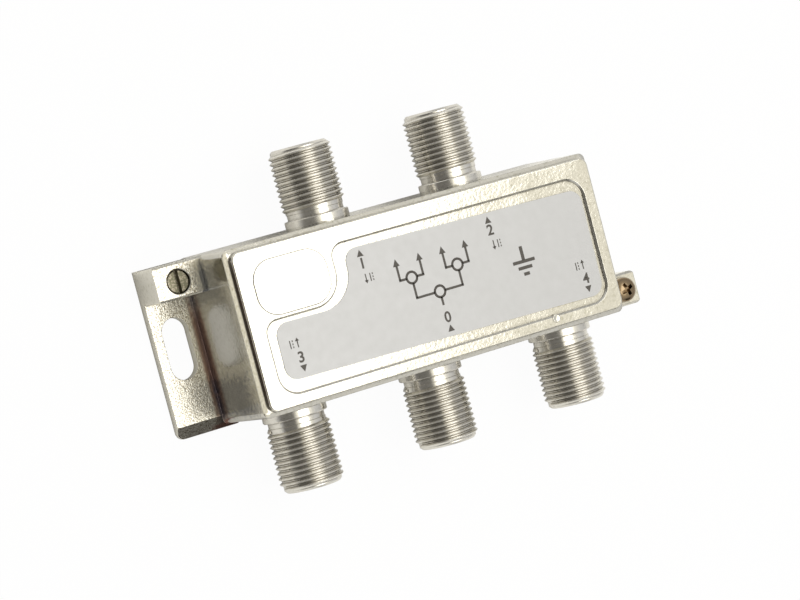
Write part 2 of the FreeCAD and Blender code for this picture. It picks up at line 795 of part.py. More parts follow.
def build_back_cover():
    """The sheet plate in the rebate, flush with the back of the case."""
    return build_plate(
        "back_cover",
        f"({REBATE_END} - Sizes.cover_gap)",
        f"({REBATE_SIDE} - Sizes.cover_gap)",
        "Sizes.cover_thickness",
        "0",
    )


def build_circuit_board():
    """The board, pressed against its two seats by the tails that are soldered to it."""
    return build_plate(
        "circuit_board",
        f"({CAVITY_END} - Sizes.board_gap)",
        f"({CAVITY_SIDE} - Sizes.board_gap)",
        "Sizes.board_thickness",
        BOARD_UNDERSIDE,
    )


def build_label():
    """The sticker on the floor of the recess, stuck on a little askew."""
    body = new_body("label")
    outline = new_sketch(body, "label_outline")
    left = f"-({RECESS_LEFT} - Sizes.label_strip_left)"
    right = f"({RECESS_RIGHT} - Sizes.label_strip_right)"
    high = f"({RECESS_TOP} - Sizes.label_strip_top)"
    low = f"-({RECESS_BOTTOM} - Sizes.label_strip_bottom)"
    notch_x = "-(Sizes.notch_left - Sizes.label_strip_notch_x)"
    notch_y = "(Sizes.notch_top - Sizes.label_strip_notch_y)"
    corners = [(left, low), (right, low), (right, high)]
    corners += [(notch_x, high), (notch_x, notch_y), (left, notch_y)]
    draw_polygon(outline, corners)
    pad(body, outline, "label_pad", "Sizes.label_thickness")
    thick = size("label_thickness")
    inner_x = size("label_strip_notch_x") - size("notch_left")
    inner_y = size("notch_top") - size("label_strip_notch_y")

    def is_inner(edge):
        return is_upright(edge, 0, thick, inner_x, inner_y, 0.05)

    round_edges(
        body,
        "label_corners",
        "Sizes.label_corner",
        lambda edge: is_upright(edge, 0, thick) and not is_inner(edge),
    )
    round_edges(body, "label_notch", "Sizes.label_notch_corner", is_inner)
    place(body, z=RECESS_FLOOR, turn=-size("label_turn"))
    return body


# Screws


def turned_profile(body, name, points):
    """Draw half a turned part beside the Z axis, on the XZ plane."""
    sketch = new_sketch(body, name, "XZ_Plane")
    draw_polygon(sketch, points)
    return sketch


def build_block_screw():
    """The headless slotted screw in the earth block. Its own origin is its top."""
    body = new_body("block_screw")
    radius = "Sizes.block_screw_diameter / 2"
    profile = turned_profile(
        body,
        "block_screw_profile",
        [
            ("0", "-Sizes.block_screw_length"),
            (f"{radius} - Sizes.block_screw_point", "-Sizes.block_screw_length"),
            (radius, "-Sizes.block_screw_length + Sizes.block_screw_point"),
            (radius, "-Sizes.block_rim_chamfer"),
            (f"{radius} - Sizes.block_rim_chamfer", "0"),
            ("0", "0"),
        ],
    )
    revolve(body, profile, "block_screw_turned")
    slot = new_sketch(body, "block_screw_slot_outline")
    draw_rectangle(
        slot,
        "-Sizes.block_screw_slot / 2",
        "Sizes.block_screw_slot / 2",
        "-Sizes.block_screw_diameter",
        "Sizes.block_screw_diameter",
    )
    pocket(body, slot, "block_screw_slot", "Sizes.block_screw_slot_depth")
    place(body, BLOCK_SCREW_X, BLOCK_SCREW_Y, "Sizes.block_height - Sizes.block_screw_sink")
    return body


def build_lug_screw():
    """The cross-recess screw of the lug. Its own origin is the seat under its head."""
    body = new_body("lug_screw")
    shank = "Sizes.lug_screw_diameter / 2"
    profile = turned_profile(
        body,
        "lug_screw_profile",
        [
            ("0", "-Sizes.lug_screw_length"),
            (shank, "-Sizes.lug_screw_length"),
            (shank, "0"),
            ("Sizes.lug_head_diameter / 2", "0"),
            ("Sizes.lug_head_diameter / 2", "(Sizes.lug_head_height - Sizes.lug_head_bevel)"),
            ("Sizes.lug_head_diameter / 2 - Sizes.lug_head_bevel", "Sizes.lug_head_height"),
            ("0", "Sizes.lug_head_height"),
        ],
    )
    revolve(body, profile, "lug_screw_turned")
    cross = new_sketch(body, "cross_outline", offset="Sizes.lug_head_height")
    arm, half = "Sizes.cross_length / 2", "Sizes.cross_width / 2"
    draw_polygon(
        cross,
        [
            (f"-{arm}", f"-{half}"),
            (f"-{half}", f"-{half}"),
            (f"-{half}", f"-{arm}"),
            (half, f"-{arm}"),
            (half, f"-{half}"),
            (arm, f"-{half}"),
            (arm, half),
            (half, half),
            (half, arm),
            (f"-{half}", arm),
            (f"-{half}", half),
            (f"-{arm}", half),
        ],
    )
    pocket(body, cross, "cross_recess", "Sizes.cross_depth")
    place(body, LUG_SCREW_X, LUG_SCREW_Y, "Sizes.lug_height + Sizes.lug_head_gap")
    return body


# Port inserts


def axial_profile(body, name, points):
    """Draw half a round insert beside the Y axis, which is the port's axis."""
    sketch = new_sketch(body, name)
    draw_polygon(sketch, points)
    return sketch


def build_insulator(port, x, turn):
    """The plastic sleeve that fills a port's bore and holds the contact."""
    body = new_body(f"port_insulator_{port}")
    barrel = "(Sizes.bore_diameter / 2 - Sizes.insert_gap)"
    hole = "(Sizes.contact_diameter / 2 + Sizes.insert_gap)"
    front = "(Sizes.port_reach - Sizes.insulator_sink)"
    profile = axial_profile(
        body,
        f"insulator_profile_{port}",
        [
            (hole, CAVITY_SIDE),
            (barrel, CAVITY_SIDE),
            (barrel, front),
            ("Sizes.insulator_mouth / 2", front),
            ("Sizes.insulator_mouth / 2", f"{front} - Sizes.insulator_front"),
            (hole, f"{front} - Sizes.insulator_front"),
        ],
    )
    revolve(body, profile, f"insulator_{port}")
    place(body, x, "0", "Sizes.port_height", turn)
    return body


def build_contact(port, x, turn):
    """The spring contact of a port, with its flat tail on the board."""
    body = new_body(f"port_contact_{port}")
    tube = "Sizes.contact_diameter / 2"
    bore = "Sizes.contact_bore / 2"
    bottom = f"({CONTACT_BACK} + Sizes.contact_base)"
    profile = axial_profile(
        body,
        f"contact_profile_{port}",
        [
            ("0", CONTACT_BACK),
            (tube, CONTACT_BACK),
            (tube, CONTACT_FRONT),
            (bore, CONTACT_FRONT),
            (bore, bottom),
            ("0", bottom),
        ],
    )
    revolve(body, profile, f"contact_{port}")
    tail = new_sketch(body, f"tail_outline_{port}", offset="-Sizes.tail_thickness / 2")
    half = "Sizes.tail_width / 2"
    draw_rectangle(
        tail,
        f"-{half}",
        half,
        f"{CAVITY_SIDE} - Sizes.tail_overhang",
        f"{CONTACT_BACK} + Sizes.contact_base / 2",
    )
    pad(body, tail, f"tail_{port}", "Sizes.tail_thickness")
    place(body, x, "0", "Sizes.port_height", turn)
    return body


# Parts on the board

PORTS = {
    "in": ("0", 180.0),
    "out_1": ("-Sizes.upper_port_pitch / 2", 0.0),
    "out_2": ("Sizes.upper_port_pitch / 2", 0.0),
    "out_3": ("-Sizes.lower_port_pitch", 180.0),
    "out_4": ("Sizes.lower_port_pitch", 180.0),
}
HYBRIDS = {"left": "-Sizes.hybrid_pitch", "input": "0", "right": "Sizes.hybrid_pitch"}
CORES = {"match": "-Sizes.core_spacing / 2", "split": "Sizes.core_spacing / 2"}


def build_core(name, x):
    """A two-hole ferrite core, lying on the board with its holes along Y."""
    body = new_body(name)
    outline = new_sketch(body, f"{name}_outline", "XZ_Plane")
    spread = "Sizes.core_hole_spacing / 2"
    high, wide = "(Sizes.core_height / 2)", f"({spread} + Sizes.core_height / 2)"
    low, narrow = f"({high} - Sizes.core_bevel)", f"({wide} - Sizes.core_bevel)"
    draw_polygon(
        outline,
        [
            (f"-{narrow}", f"-{high}"),
            (narrow, f"-{high}"),
            (wide, f"-{low}"),
            (wide, low),
            (narrow, high),
            (f"-{narrow}", high),
            (f"-{wide}", low),
            (f"-{wide}", f"-{low}"),
        ],
    )
    draw_circle(outline, f"-{spread}", "0", "Sizes.core_hole_diameter")
    draw_circle(outline, spread, "0", "Sizes.core_hole_diameter")
    feature = pad(body, outline, f"{name}_pad", "Sizes.core_length")
    feature.SideType = "Symmetric"
    place(body, x, "0", f"{BOARD_UNDERSIDE} - Sizes.core_height / 2")
    return body


def draw_loop(sketch, across, along):
    """Draw one edge of a flat bundle of wire, bent over half its width at each corner."""
    bend = f"({across} / 2)"
    draw_polygon(
        sketch,
        [
            (f"-{across} + {bend}", f"-{along}"),
            (f"{across} - {bend}", f"-{along}"),
            (across, f"-{along} + {bend}"),
            (across, f"{along} - {bend}"),
            (f"{across} - {bend}", along),
            (f"-{across} + {bend}", along),
            (f"-{across}", f"{along} - {bend}"),
            (f"-{across}", f"-{along} + {bend}"),
        ],
    )


def build_winding(name, x):
    """The turns of wire through both holes of a core, as one closed flat bundle."""
    body = new_body(name)
    outline = new_sketch(body, f"{name}_outline")
    inside = "(Sizes.core_hole_spacing / 2 - Sizes.winding_width / 2)"
    end = f"(Sizes.core_length / 2 + Sizes.winding_overhang + {inside} / 2)"
    draw_loop(outline, inside, end)
    draw_loop(outline, f"({inside} + Sizes.winding_width)", f"({end} + Sizes.winding_width)")
    feature = pad(body, outline, f"{name}_bundle", "Sizes.winding_width")
    feature.SideType = "Symmetric"
    place(body, x, "0", f"{BOARD_UNDERSIDE} - Sizes.core_height / 2")
    return body


def build_chip(name, kind, x, y):
    """A chip part under the board: a block with the sizes of its kind."""
    chip = doc.addObject("Part::Box", name)
    chip.Label = name
    chip.setExpression("Length", f"Sizes.{kind}_length")
    chip.setExpression("Width", f"Sizes.{kind}_width")
    chip.setExpression("Height", f"Sizes.{kind}_height")
    place(
        chip,
        f"{x} - Sizes.{kind}_length / 2",
        f"{y} - Sizes.{kind}_width / 2",
        f"{BOARD_UNDERSIDE} - Sizes.{kind}_height",
    )
    return chip


def build_board_parts():
    """Cores, windings, resistors, and the three chip parts of each output."""
    pieces = []
    for side, x in HYBRIDS.items():
        for kind, shift in CORES.items():
            pieces.append(build_core(f"{kind}_core_{side}", f"{x} + {shift}"))
            pieces.append(build_winding(f"{kind}_winding_{side}", f"{x} + {shift}"))
        pieces.append(build_chip(f"balance_resistor_{side}", "resistor", x, RESISTOR_ROW))
    for index in range(1, 5):
        port_x, turn = PORTS[f"out_{index}"]
        row = OUTPUT_ROW if turn == 0.0 else f"-{OUTPUT_ROW}"
        apart = "Sizes.output_part_pitch"
        pieces.append(build_chip(f"coupling_capacitor_{index}", "capacitor", port_x, row))
        pieces.append(build_chip(f"choke_{index}", "choke", f"{port_x} + {apart}", row))
        pieces.append(build_chip(f"steering_diode_{index}", "diode", f"{port_x} - {apart}", row))
    return pieces


def build_all():
    """Build every sub-part and return them in order."""
    pieces = [build_housing(), build_back_cover(), build_label(), build_circuit_board()]
    pieces += [build_block_screw(), build_lug_screw()]
    for port, (x, turn) in PORTS.items():
        pieces.append(build_insulator(port, x, turn))
        pieces.append(build_contact(port, x, turn))
    pieces += build_board_parts()
    return pieces


def check_document():
    """Refuse a document that holds a failed object."""
    doc.recompute()
    for item in doc.Objects:
        if "Invalid" in item.State or "Error" in item.State:
            raise RuntimeError(f"{item.Name} is in state {item.State}")


def write_parts(pieces):
    """Check each sub-part's solid and write it to its own file."""
    os.makedirs(PARTS_FOLDER, exist_ok=True)
    for piece in pieces:
        shape = piece.Shape
        if shape.isNull() or not shape.isValid() or len(shape.Solids) != 1:
            raise RuntimeError(f"{piece.Label} is not one valid solid")
        shape.exportStep(os.path.join(PARTS_FOLDER, f"{piece.Label}.step"))
        print(f"{piece.Label}: {shape.Volume:.2f} mm3")


fill_sheet()
PIECES = build_all()
check_document()
write_parts(PIECES)
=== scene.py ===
"""Looks of the four-way aerial splitter: threads, edges, label print, finishes and studio.

Lengths in the classes are millimetres, as on a drawing, and become metres where a mesh is made.
The frame is the part's own: the splitter lies on its back, X runs from the mounting tab to the
earth lug and +Y points out of the side with two ports.
"""
import logging
import math
from dataclasses import dataclass, field
from enum import Enum
from typing import Any, Callable, Sequence

import bpy
from mathutils import Matrix, Vector


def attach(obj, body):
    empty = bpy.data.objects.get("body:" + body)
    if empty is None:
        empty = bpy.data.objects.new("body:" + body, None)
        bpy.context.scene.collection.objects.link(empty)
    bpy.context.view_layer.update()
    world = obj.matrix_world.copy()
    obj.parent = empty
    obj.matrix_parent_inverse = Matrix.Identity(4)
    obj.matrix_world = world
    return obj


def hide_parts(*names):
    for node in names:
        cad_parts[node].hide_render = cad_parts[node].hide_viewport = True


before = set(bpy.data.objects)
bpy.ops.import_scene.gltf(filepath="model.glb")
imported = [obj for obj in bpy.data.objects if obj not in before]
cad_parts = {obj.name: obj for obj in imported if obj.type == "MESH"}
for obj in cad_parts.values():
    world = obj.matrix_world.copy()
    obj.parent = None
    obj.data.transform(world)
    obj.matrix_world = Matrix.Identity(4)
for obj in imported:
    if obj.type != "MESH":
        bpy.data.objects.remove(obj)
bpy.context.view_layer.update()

LOG = logging.getLogger("splitter")
BODY = "splitter"
MM = 0.001
# Corners nearer than this many millimetres become one: in a drawn profile, and in a built mesh
MERGE_DRAWN = 0.001
MERGE_BUILT = 0.002
WHITE = (1.0, 1.0, 1.0, 1.0)
# Turns a piece that was drawn about Y so that it stands on Z
UPRIGHT = Matrix.Rotation(math.pi / 2, 4, "X")

Tree = bpy.types.NodeTree
Socket = bpy.types.NodeSocket
Piece = bpy.types.Object
Point = tuple[float, float]
Place = tuple[float, float, float]
Profile = Sequence[Point]


class Heading(Enum):
    """Way that a printed arrow or triangle points, as its sign along Y."""

    UP = 1.0
    DOWN = -1.0


class Side(Enum):
    """Side of the case that a port stands on, as the half turn that carries it there."""

    UPPER = 0.0
    LOWER = math.pi

    @property
    def sign(self) -> float:
        """Return the side's sign along Y."""
        return 1.0 if self is Side.UPPER else -1.0


class Grain(Enum):
    """How coarse a cast skin shows: (grain in mm, depth in mm)."""

    FINE = (0.3, 0.006)
    SANDY = (0.5, 0.026)


# Small helpers


def hex_colour(code: str) -> tuple[float, float, float, float]:
    """Turn an sRGB hex value into linear colour.

    Args:
        code: Six hex digits, such as "d8d2c0".

    Returns:
        Linear red, green, blue and an alpha of one.
    """
    parts = [int(code[start:start + 2], 16) / 255.0 for start in (0, 2, 4)]
    linear = [c / 12.92 if c <= 0.04045 else ((c + 0.055) / 1.055) ** 2.4 for c in parts]
    return (linear[0], linear[1], linear[2], 1.0)


def add_node(tree: Tree, kind: str, inputs: dict[Any, Any] | None = None,
             **settings: Any) -> bpy.types.Node:
    """Add a node with its settings, and set or link its inputs.

    Args:
        tree: Node tree that takes the node.
        kind: Blender's type name of the node.
        inputs: Input name or number to a value, or to the output that feeds it.
        **settings: Properties of the node itself.

    Returns:
        The new node.
    """
    node = tree.nodes.new(kind)
    for name, setting in settings.items():
        setattr(node, name, setting)
    for name, feed in (inputs or {}).items():
        if isinstance(feed, Socket):
            tree.links.new(feed, node.inputs[name])
        else:
            node.inputs[name].default_value = feed
    return node


def bare_tree(owner: bpy.types.Material | bpy.types.World) -> Tree:
    """Turn on the nodes of a material or world, empty its tree and return it."""
    owner.use_nodes = True
    owner.node_tree.nodes.clear()
    return owner.node_tree


def number_math(tree: Tree, operation: str, *feeds: Any) -> Socket:
    """Add a math node over numbers or sockets and return its result."""
    node = add_node(tree, "ShaderNodeMath", dict(enumerate(feeds)), operation=operation)
    return node.outputs[0]


def vector_math(tree: Tree, operation: str, *feeds: Any) -> bpy.types.Node:
    """Add a vector math node over vectors or sockets and return the node."""
    return add_node(tree, "ShaderNodeVectorMath", dict(enumerate(feeds)), operation=operation)


def blend(tree: Tree, share: Any, under: Any, over: Any) -> Socket:
    """Mix two colours by the share of the second one and return the result."""
    return add_node(tree, "ShaderNodeMix", {0: share, 6: under, 7: over},
                    data_type="RGBA").outputs[2]


def remap(tree: Tree, feed: Socket, first: float, last: float, low: float = 0.0,
          high: float = 1.0, soft: bool = False) -> Socket:
    """Map a range of a socket onto another range, clamped to it.

    Args:
        tree: Node tree that takes the node.
        feed: Socket to map.
        first: Input that gives the low result.
        last: Input that gives the high result.
        low: Result at the first input.
        high: Result at the last input.
        soft: Whether the way between them starts and ends gently.

    Returns:
        The mapped value.
    """
    return add_node(tree, "ShaderNodeMapRange",
                    {"Value": feed, "From Min": first, "From Max": last, "To Min": low,
                     "To Max": high},
                    interpolation_type="SMOOTHSTEP" if soft else "LINEAR").outputs["Result"]


def add_noise(tree: Tree, place: Socket, size: float, detail: float,
              roughness: float = 0.5) -> Socket:
    """Add noise whose features are this many millimetres wide and return its value."""
    return add_node(tree, "ShaderNodeTexNoise",
                    {"Vector": place, "Scale": 1.0 / (size * MM), "Detail": detail,
                     "Roughness": roughness}).outputs["Fac"]


def add_bump(tree: Tree, height: Socket, depth: Any, strength: Any,
             normal: Socket | None = None) -> Socket:
    """Add a bump this many metres deep, over another normal if there is one.

    Args:
        tree: Node tree that takes the node.
        height: Height, 0 to 1.
        depth: How deep the height goes, in metres.
        strength: Share of the bump that shows.
        normal: Normal that the bump goes on.

    Returns:
        The bumped normal.
    """
    inputs = {"Height": height, "Distance": depth, "Strength": strength}
    if normal is not None:
        inputs["Normal"] = normal
    return add_node(tree, "ShaderNodeBump", inputs).outputs["Normal"]


def add_surface(tree: Tree, tone: Any, metallic: float, roughness: Socket,
                normal: Socket) -> None:
    """Add a finish's shader and its output."""
    shader = add_node(tree, "ShaderNodeBsdfPrincipled",
                      {"Base Color": tone, "Metallic": metallic, "Roughness": roughness,
                       "Normal": normal})
    add_node(tree, "ShaderNodeOutputMaterial", {"Surface": shader.outputs["BSDF"]})


def set_ramp(node: bpy.types.Node, stops: Sequence[tuple[float, Any]]) -> None:
    """Set a colour ramp's stops.

    Args:
        node: Colour ramp node.
        stops: Places and colours, from left to right; a number is a grey.
    """
    ramp = node.color_ramp
    while len(ramp.elements) > 1:
        ramp.elements.remove(ramp.elements[-1])
    for index, (place, tone) in enumerate(stops):
        element = ramp.elements[0] if index == 0 else ramp.elements.new(place)
        element.position = place
        element.color = tone if isinstance(tone, tuple) else (tone, tone, tone, 1.0)


def activate(*pieces: Piece) -> None:
    """Select these pieces alone and make the first one active."""
    bpy.ops.object.select_all(action="DESELECT")
    for piece in pieces:
        piece.select_set(True)
    bpy.context.view_layer.objects.active = pieces[0]


def edit(piece: Piece, work: Callable[[], None]) -> None:
    """Run some edit mode work on one piece with all of it selected."""
    activate(piece)
    bpy.ops.object.mode_set(mode="EDIT")
    bpy.ops.mesh.select_all(action="SELECT")
    work()
    bpy.ops.object.mode_set(mode="OBJECT")


def select_where(piece: Piece, kind: str, test: Callable[[list[Vector]], bool]) -> None:
    """Select the faces or edges whose corners pass a test, and stay in edit mode.

    Args:
        piece: The piece.
        kind: Blender's name of the select mode, "FACE" or "EDGE".
        test: Says whether an element with these corners is selected.
    """
    activate(piece)
    bpy.ops.object.mode_set(mode="EDIT")
    bpy.ops.mesh.select_mode(type=kind)
    bpy.ops.mesh.select_all(action="DESELECT")
    bpy.ops.object.mode_set(mode="OBJECT")
    points = piece.data.vertices
    for element in piece.data.polygons if kind == "FACE" else piece.data.edges:
        element.select = test([points[index].co for index in element.vertices])
    bpy.ops.object.mode_set(mode="EDIT")


def tidy_normals() -> None:
    """Merge doubles and point all faces outwards, in edit mode."""
    bpy.ops.mesh.select_all(action="SELECT")
    bpy.ops.mesh.remove_doubles(threshold=MERGE_BUILT * MM)
    bpy.ops.mesh.normals_make_consistent(inside=False)


def smooth(piece: Piece, degrees: float = 35.0) -> None:
    """Shade a piece smooth up to an angle, with its large faces kept flat."""
    activate(piece)
    bpy.ops.object.shade_smooth_by_angle(angle=math.radians(degrees))
    weigh = piece.modifiers.new("weighted", "WEIGHTED_NORMAL")
    weigh.keep_sharp = True
    bpy.ops.object.modifier_apply(modifier=weigh.name)


def shift(piece: Piece, x: float = 0.0, y: float = 0.0, z: float = 0.0,
          turn: float = 0.0) -> None:
    """Turn a piece's mesh about Z, then move it, with its object left at the origin.

    Args:
        piece: The piece.
        x: Move along X in millimetres.
        y: Move along Y in millimetres.
        z: Move along Z in millimetres.
        turn: Turn about Z in radians.
    """
    piece.data.transform(Matrix.Rotation(turn, 4, "Z"))
    piece.data.transform(Matrix.Translation(Vector((x, y, z)) * MM))
    piece.data.update()


def join(pieces: Sequence[Piece], name: str) -> Piece:
    """Join pieces into one and name it."""
    activate(*pieces)
    if len(pieces) > 1:
        bpy.ops.object.join()
    pieces[0].name = name
    pieces[0].data.name = name
    return pieces[0]


def draw_profile(name: str, points: Profile) -> Piece:
    """Draw a closed profile of radius and height by extruding one vertex, point by point.

    Args:
        name: Name of the new piece.
        points: Radius along X and height along Y, in millimetres, going round the section.

    Returns:
        A wire piece in the XY plane.
    """
    bpy.ops.object.select_all(action="DESELECT")
    bpy.ops.mesh.primitive_plane_add(size=MM)
    piece = bpy.context.object
    piece.name = name
    ring = [Vector((radius, height, 0.0)) * MM for radius, height in points]

    def trace() -> None:
        # The plane's four corners shrink to the one vertex that is extruded
        bpy.ops.mesh.merge(type="CENTER")
        bpy.ops.transform.translate(value=ring[0])
        for before, after in zip(ring, ring[1:] + ring[:1]):
            bpy.ops.mesh.extrude_region_move(TRANSFORM_OT_translate={"value": after - before})
        bpy.ops.mesh.select_all(action="SELECT")
        bpy.ops.mesh.remove_doubles(threshold=MERGE_DRAWN * MM)

    edit(piece, trace)
    return piece


def turn_profile(name: str, points: Profile, steps: int = 72, pitch: float = 0.0,
                 turns: int = 1) -> Piece:
    """Turn a closed profile about Y into a ring, or wind it into a thread's ridge.

    Args:
        name: Name of the new piece.
        points: Radius and height of the section, in millimetres.
        steps: Facets in one turn.
        pitch: Climb in one turn, in millimetres.
        turns: Number of turns.

    Returns:
        The closed piece.
    """
    piece = draw_profile(name, points)
    activate(piece)
    screw = piece.modifiers.new("turned", "SCREW")
    screw.axis = "Y"
    screw.steps = steps
    screw.render_steps = steps
    screw.screw_offset = pitch * MM
    screw.iterations = turns
    screw.use_merge_vertices = pitch == 0.0
    screw.merge_threshold = MERGE_DRAWN * MM
    bpy.ops.object.modifier_apply(modifier=screw.name)

    def close() -> None:
        if pitch:
            bpy.ops.mesh.fill_holes(sides=len(points) + 1)
        tidy_normals()

    edit(piece, close)
    return piece


def give(piece: Piece, finish: bpy.types.Material, body: str) -> None:
    """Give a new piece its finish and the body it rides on."""
    piece.data.materials.clear()
    piece.data.materials.append(finish)
    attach(piece, body)
    LOG.info("%s: %d faces", piece.name, len(piece.data.polygons))


# Finishes


@dataclass(frozen=True)
class PaintedDarkening:
    """A patch of the plating painted darker inside a box of the part's own frame: painted shade in
    corners and painted dark reflections.

    The fray, fade and overlap are shares of the box's half size.
    """

    middle: Place
    half: Place
    strength: float
    shade: str
    fray: float
    fade: float = 0.3
    overlap: float = 0.05

    def mask(self, tree: Tree, place: Socket, fray: Socket) -> Socket:
        """Add the nodes that say how much of the painted darkening lies at a place.

        Args:
            tree: The finish's node tree.
            place: Place in the part's frame.
            fray: Noise that frays the painted darkening's edge.

        Returns:
            Share of the painted darkening, from none to its strength.
        """
        away = vector_math(tree, "SUBTRACT", place, Vector(self.middle) * MM).outputs["Vector"]
        share = vector_math(tree, "DIVIDE", away, Vector(self.half) * MM).outputs["Vector"]
        plain = vector_math(tree, "ABSOLUTE", share).outputs["Vector"]
        parts = add_node(tree, "ShaderNodeSeparateXYZ", {"Vector": plain})
        wide = number_math(tree, "MAXIMUM", parts.outputs["X"], parts.outputs["Y"])
        most = number_math(tree, "MAXIMUM", wide, parts.outputs["Z"])
        frayed = number_math(tree, "MULTIPLY_ADD", fray, self.fray, most)
        # Noise is a half on average, so that the box's side lies at one plus half the fray
        side = 1.0 + self.fray * 0.5
        return remap(tree, frayed, side + self.overlap, side - self.fade, 0.0, self.strength,
                     soft=True)


@dataclass(frozen=True)
class NickelPlating:
    """Bright nickel plated on a zinc die casting: a warm mirror broken up by the cast skin.

    The skin's grain throws each reflection about, which the eye sees as a sandy sparkle.
    """

    name: str
    colour: str
    stain: str
    grain: Grain
    roughness: float
    patchiness: float = 0.5
    edge_mm: float = 0.12
    # Boxes where the colour is painted darker: painted shade in corners and painted dark
    # reflections
    painted_darkenings: tuple[PaintedDarkening, ...] = ()
    # Painted shade in the inner corners, darker where ambient occlusion finds faces close by: its
    # share, its reach in mm and its colour
    corner_shade_share: float = 0.6
    corner_shade_mm: float = 0.45
    corner_shade_colour: str = "6b655a"
    # Beyond this X the skin is sandy, this deep in mm, as where a die is blasted and not polished
    sandy: tuple[float, float] | None = None
    sand_mm: float = 0.24
    sand_fade: float = 1.2
    sand_dulls: float = 0.1
    pit: str = "a29a89"
    # Width of the rougher patches, and width and depth of the die's own slow waves, in mm
    patch_mm: float = 4.5
    wave_mm: float = 1.6
    wave_depth: float = 0.012

    def build(self) -> bpy.types.Material:
        """Make the material."""
        material = bpy.data.materials.new(self.name)
        tree = bare_tree(material)
        place = add_node(tree, "ShaderNodeTexCoord").outputs["Object"]
        width, depth = self.grain.value
        # Cast skin, drawn a little coarser than a real one so that it shows at all
        skin = add_noise(tree, place, width, 2.0, 0.6)
        patch = add_noise(tree, place, self.patch_mm, 3.0)
        rough_patch = remap(tree, patch, 0.35, 0.68, 1.0 - self.patchiness, 1.0)
        wave = add_noise(tree, place, self.wave_mm, 1.0)
        edge = add_node(tree, "ShaderNodeBevel", {"Radius": self.edge_mm * MM}, samples=4)
        waved = add_bump(tree, wave, self.wave_depth * MM, 1.0, edge.outputs["Normal"])
        grained = add_bump(tree, skin, depth * MM, rough_patch, waved)
        # Dull specks, about as wide as the grain, where the plating is thin
        speck = add_noise(tree, place, width * 1.1, 3.0)
        thin = add_node(tree, "ShaderNodeValToRGB", {"Fac": speck})
        set_ramp(thin, [(0.52, 0.0), (0.8, 0.6)])
        tone = blend(tree, thin.outputs["Color"], hex_colour(self.colour), hex_colour(self.stain))
        # Painted shade: the colour darkens in the inner corners, wherever ambient occlusion finds
        # faces close by
        corner = add_node(tree, "ShaderNodeAmbientOcclusion", {"Distance": self.corner_shade_mm * MM},
                          samples=6)
        corner_shade_share = remap(tree, corner.outputs["AO"], 0.9, 0.55, 0.0, self.corner_shade_share)
        tone = blend(tree, corner_shade_share, tone, hex_colour(self.corner_shade_colour))
        blasted: Any = 0.0
        if self.sandy:
            tone, grained, blasted = self.add_sand(tree, place, tone, grained)
        # Lay each painted darkening over the colour: painted shade in corners and painted dark
        # reflections
        for darkening in self.painted_darkenings:
            share = darkening.mask(tree, place, speck)
            tone = blend(tree, share, tone, hex_colour(darkening.shade))
        gloss = remap(tree, patch, 0.3, 0.7, self.roughness * 0.75, self.roughness * 1.3)
        dulled = number_math(tree, "MULTIPLY_ADD", blasted, self.sand_dulls, gloss)
        add_surface(tree, tone, 1.0, dulled, grained)
        return material

    def add_sand(self, tree: Tree, place: Socket, tone: Socket,
                 grained: Socket) -> tuple[Socket, Socket, Socket]:
        """Add sand grains with dark pits between them, on faces that look up.

        Args:
            tree: The finish's node tree.
            place: Place in the part's frame.
            tone: Colour of the plating without the pits.
            grained: Normal of the plain skin.

        Returns:
            Colour with the pits, the normal with the grains, and the share of sand.
        """
        where, depth = self.sandy
        along = add_node(tree, "ShaderNodeSeparateXYZ", {"Vector": place}).outputs["X"]
        beyond = remap(tree, along, where * MM, (where - self.sand_fade) * MM)
        normal = add_node(tree, "ShaderNodeNewGeometry").outputs["Normal"]
        upright = add_node(tree, "ShaderNodeSeparateXYZ", {"Vector": normal}).outputs["Z"]
        share = number_math(tree, "MULTIPLY", beyond, remap(tree, upright, 0.5, 0.8))
        sand = add_noise(tree, place, self.sand_mm, 1.5)
        deep = number_math(tree, "MULTIPLY", share, depth * MM)
        bumped = add_bump(tree, sand, deep, 1.0, grained)
        pitted = number_math(tree, "MULTIPLY", share, remap(tree, sand, 0.5, 0.38))
        return blend(tree, pitted, tone, hex_colour(self.pit)), bumped, share


@dataclass(frozen=True)
class TurnedMetal:
    """Machined or drawn metal: fine marks round the piece, a smooth plated shine over them."""

    name: str
    colour: str
    roughness: float
    # Width of a mark, and how much narrower it is along each axis than the noise it is made of
    mark_mm: float = 0.08
    narrowing: Place = (1.0, 1.0, 8.0)
    mark_length: float = 8.0
    mark_depth: float = 0.004

    def build(self) -> bpy.types.Material:
        """Make the material."""
        material = bpy.data.materials.new(self.name)
        tree = bare_tree(material)
        place = add_node(tree, "ShaderNodeTexCoord").outputs["Object"]
        narrow = add_node(tree, "ShaderNodeMapping", {"Vector": place, "Scale": self.narrowing})
        marks = add_noise(tree, narrow.outputs["Vector"], self.mark_mm * self.mark_length, 3.0)
        normal = add_bump(tree, marks, self.mark_depth * MM, 0.6)
        gloss = remap(tree, marks, 0.0, 1.0, self.roughness * 0.7, self.roughness * 1.35)
        add_surface(tree, hex_colour(self.colour), 1.0, gloss, normal)
        return material


@dataclass(frozen=True)
class PlainCoat:
    """A non-metal surface, moulded, fired, printed or laminated, with a faint mottle."""

    name: str
    colour: str
    mottle: str
    roughness: float
    mottle_mm: float
    bump_mm: float = 0.002
    sheen_metal: float = 0.0

    def build(self) -> bpy.types.Material:
        """Make the material."""
        material = bpy.data.materials.new(self.name)
        tree = bare_tree(material)
        place = add_node(tree, "ShaderNodeTexCoord").outputs["Object"]
        mottle = add_noise(tree, place, self.mottle_mm, 4.0)
        tone = blend(tree, mottle, hex_colour(self.colour), hex_colour(self.mottle))
        normal = add_bump(tree, mottle, self.bump_mm * MM, 0.5)
        gloss = remap(tree, mottle, 0.0, 1.0, self.roughness * 0.8, self.roughness * 1.2)
        add_surface(tree, tone, self.sheen_metal, gloss, normal)
        return material


# Pieces


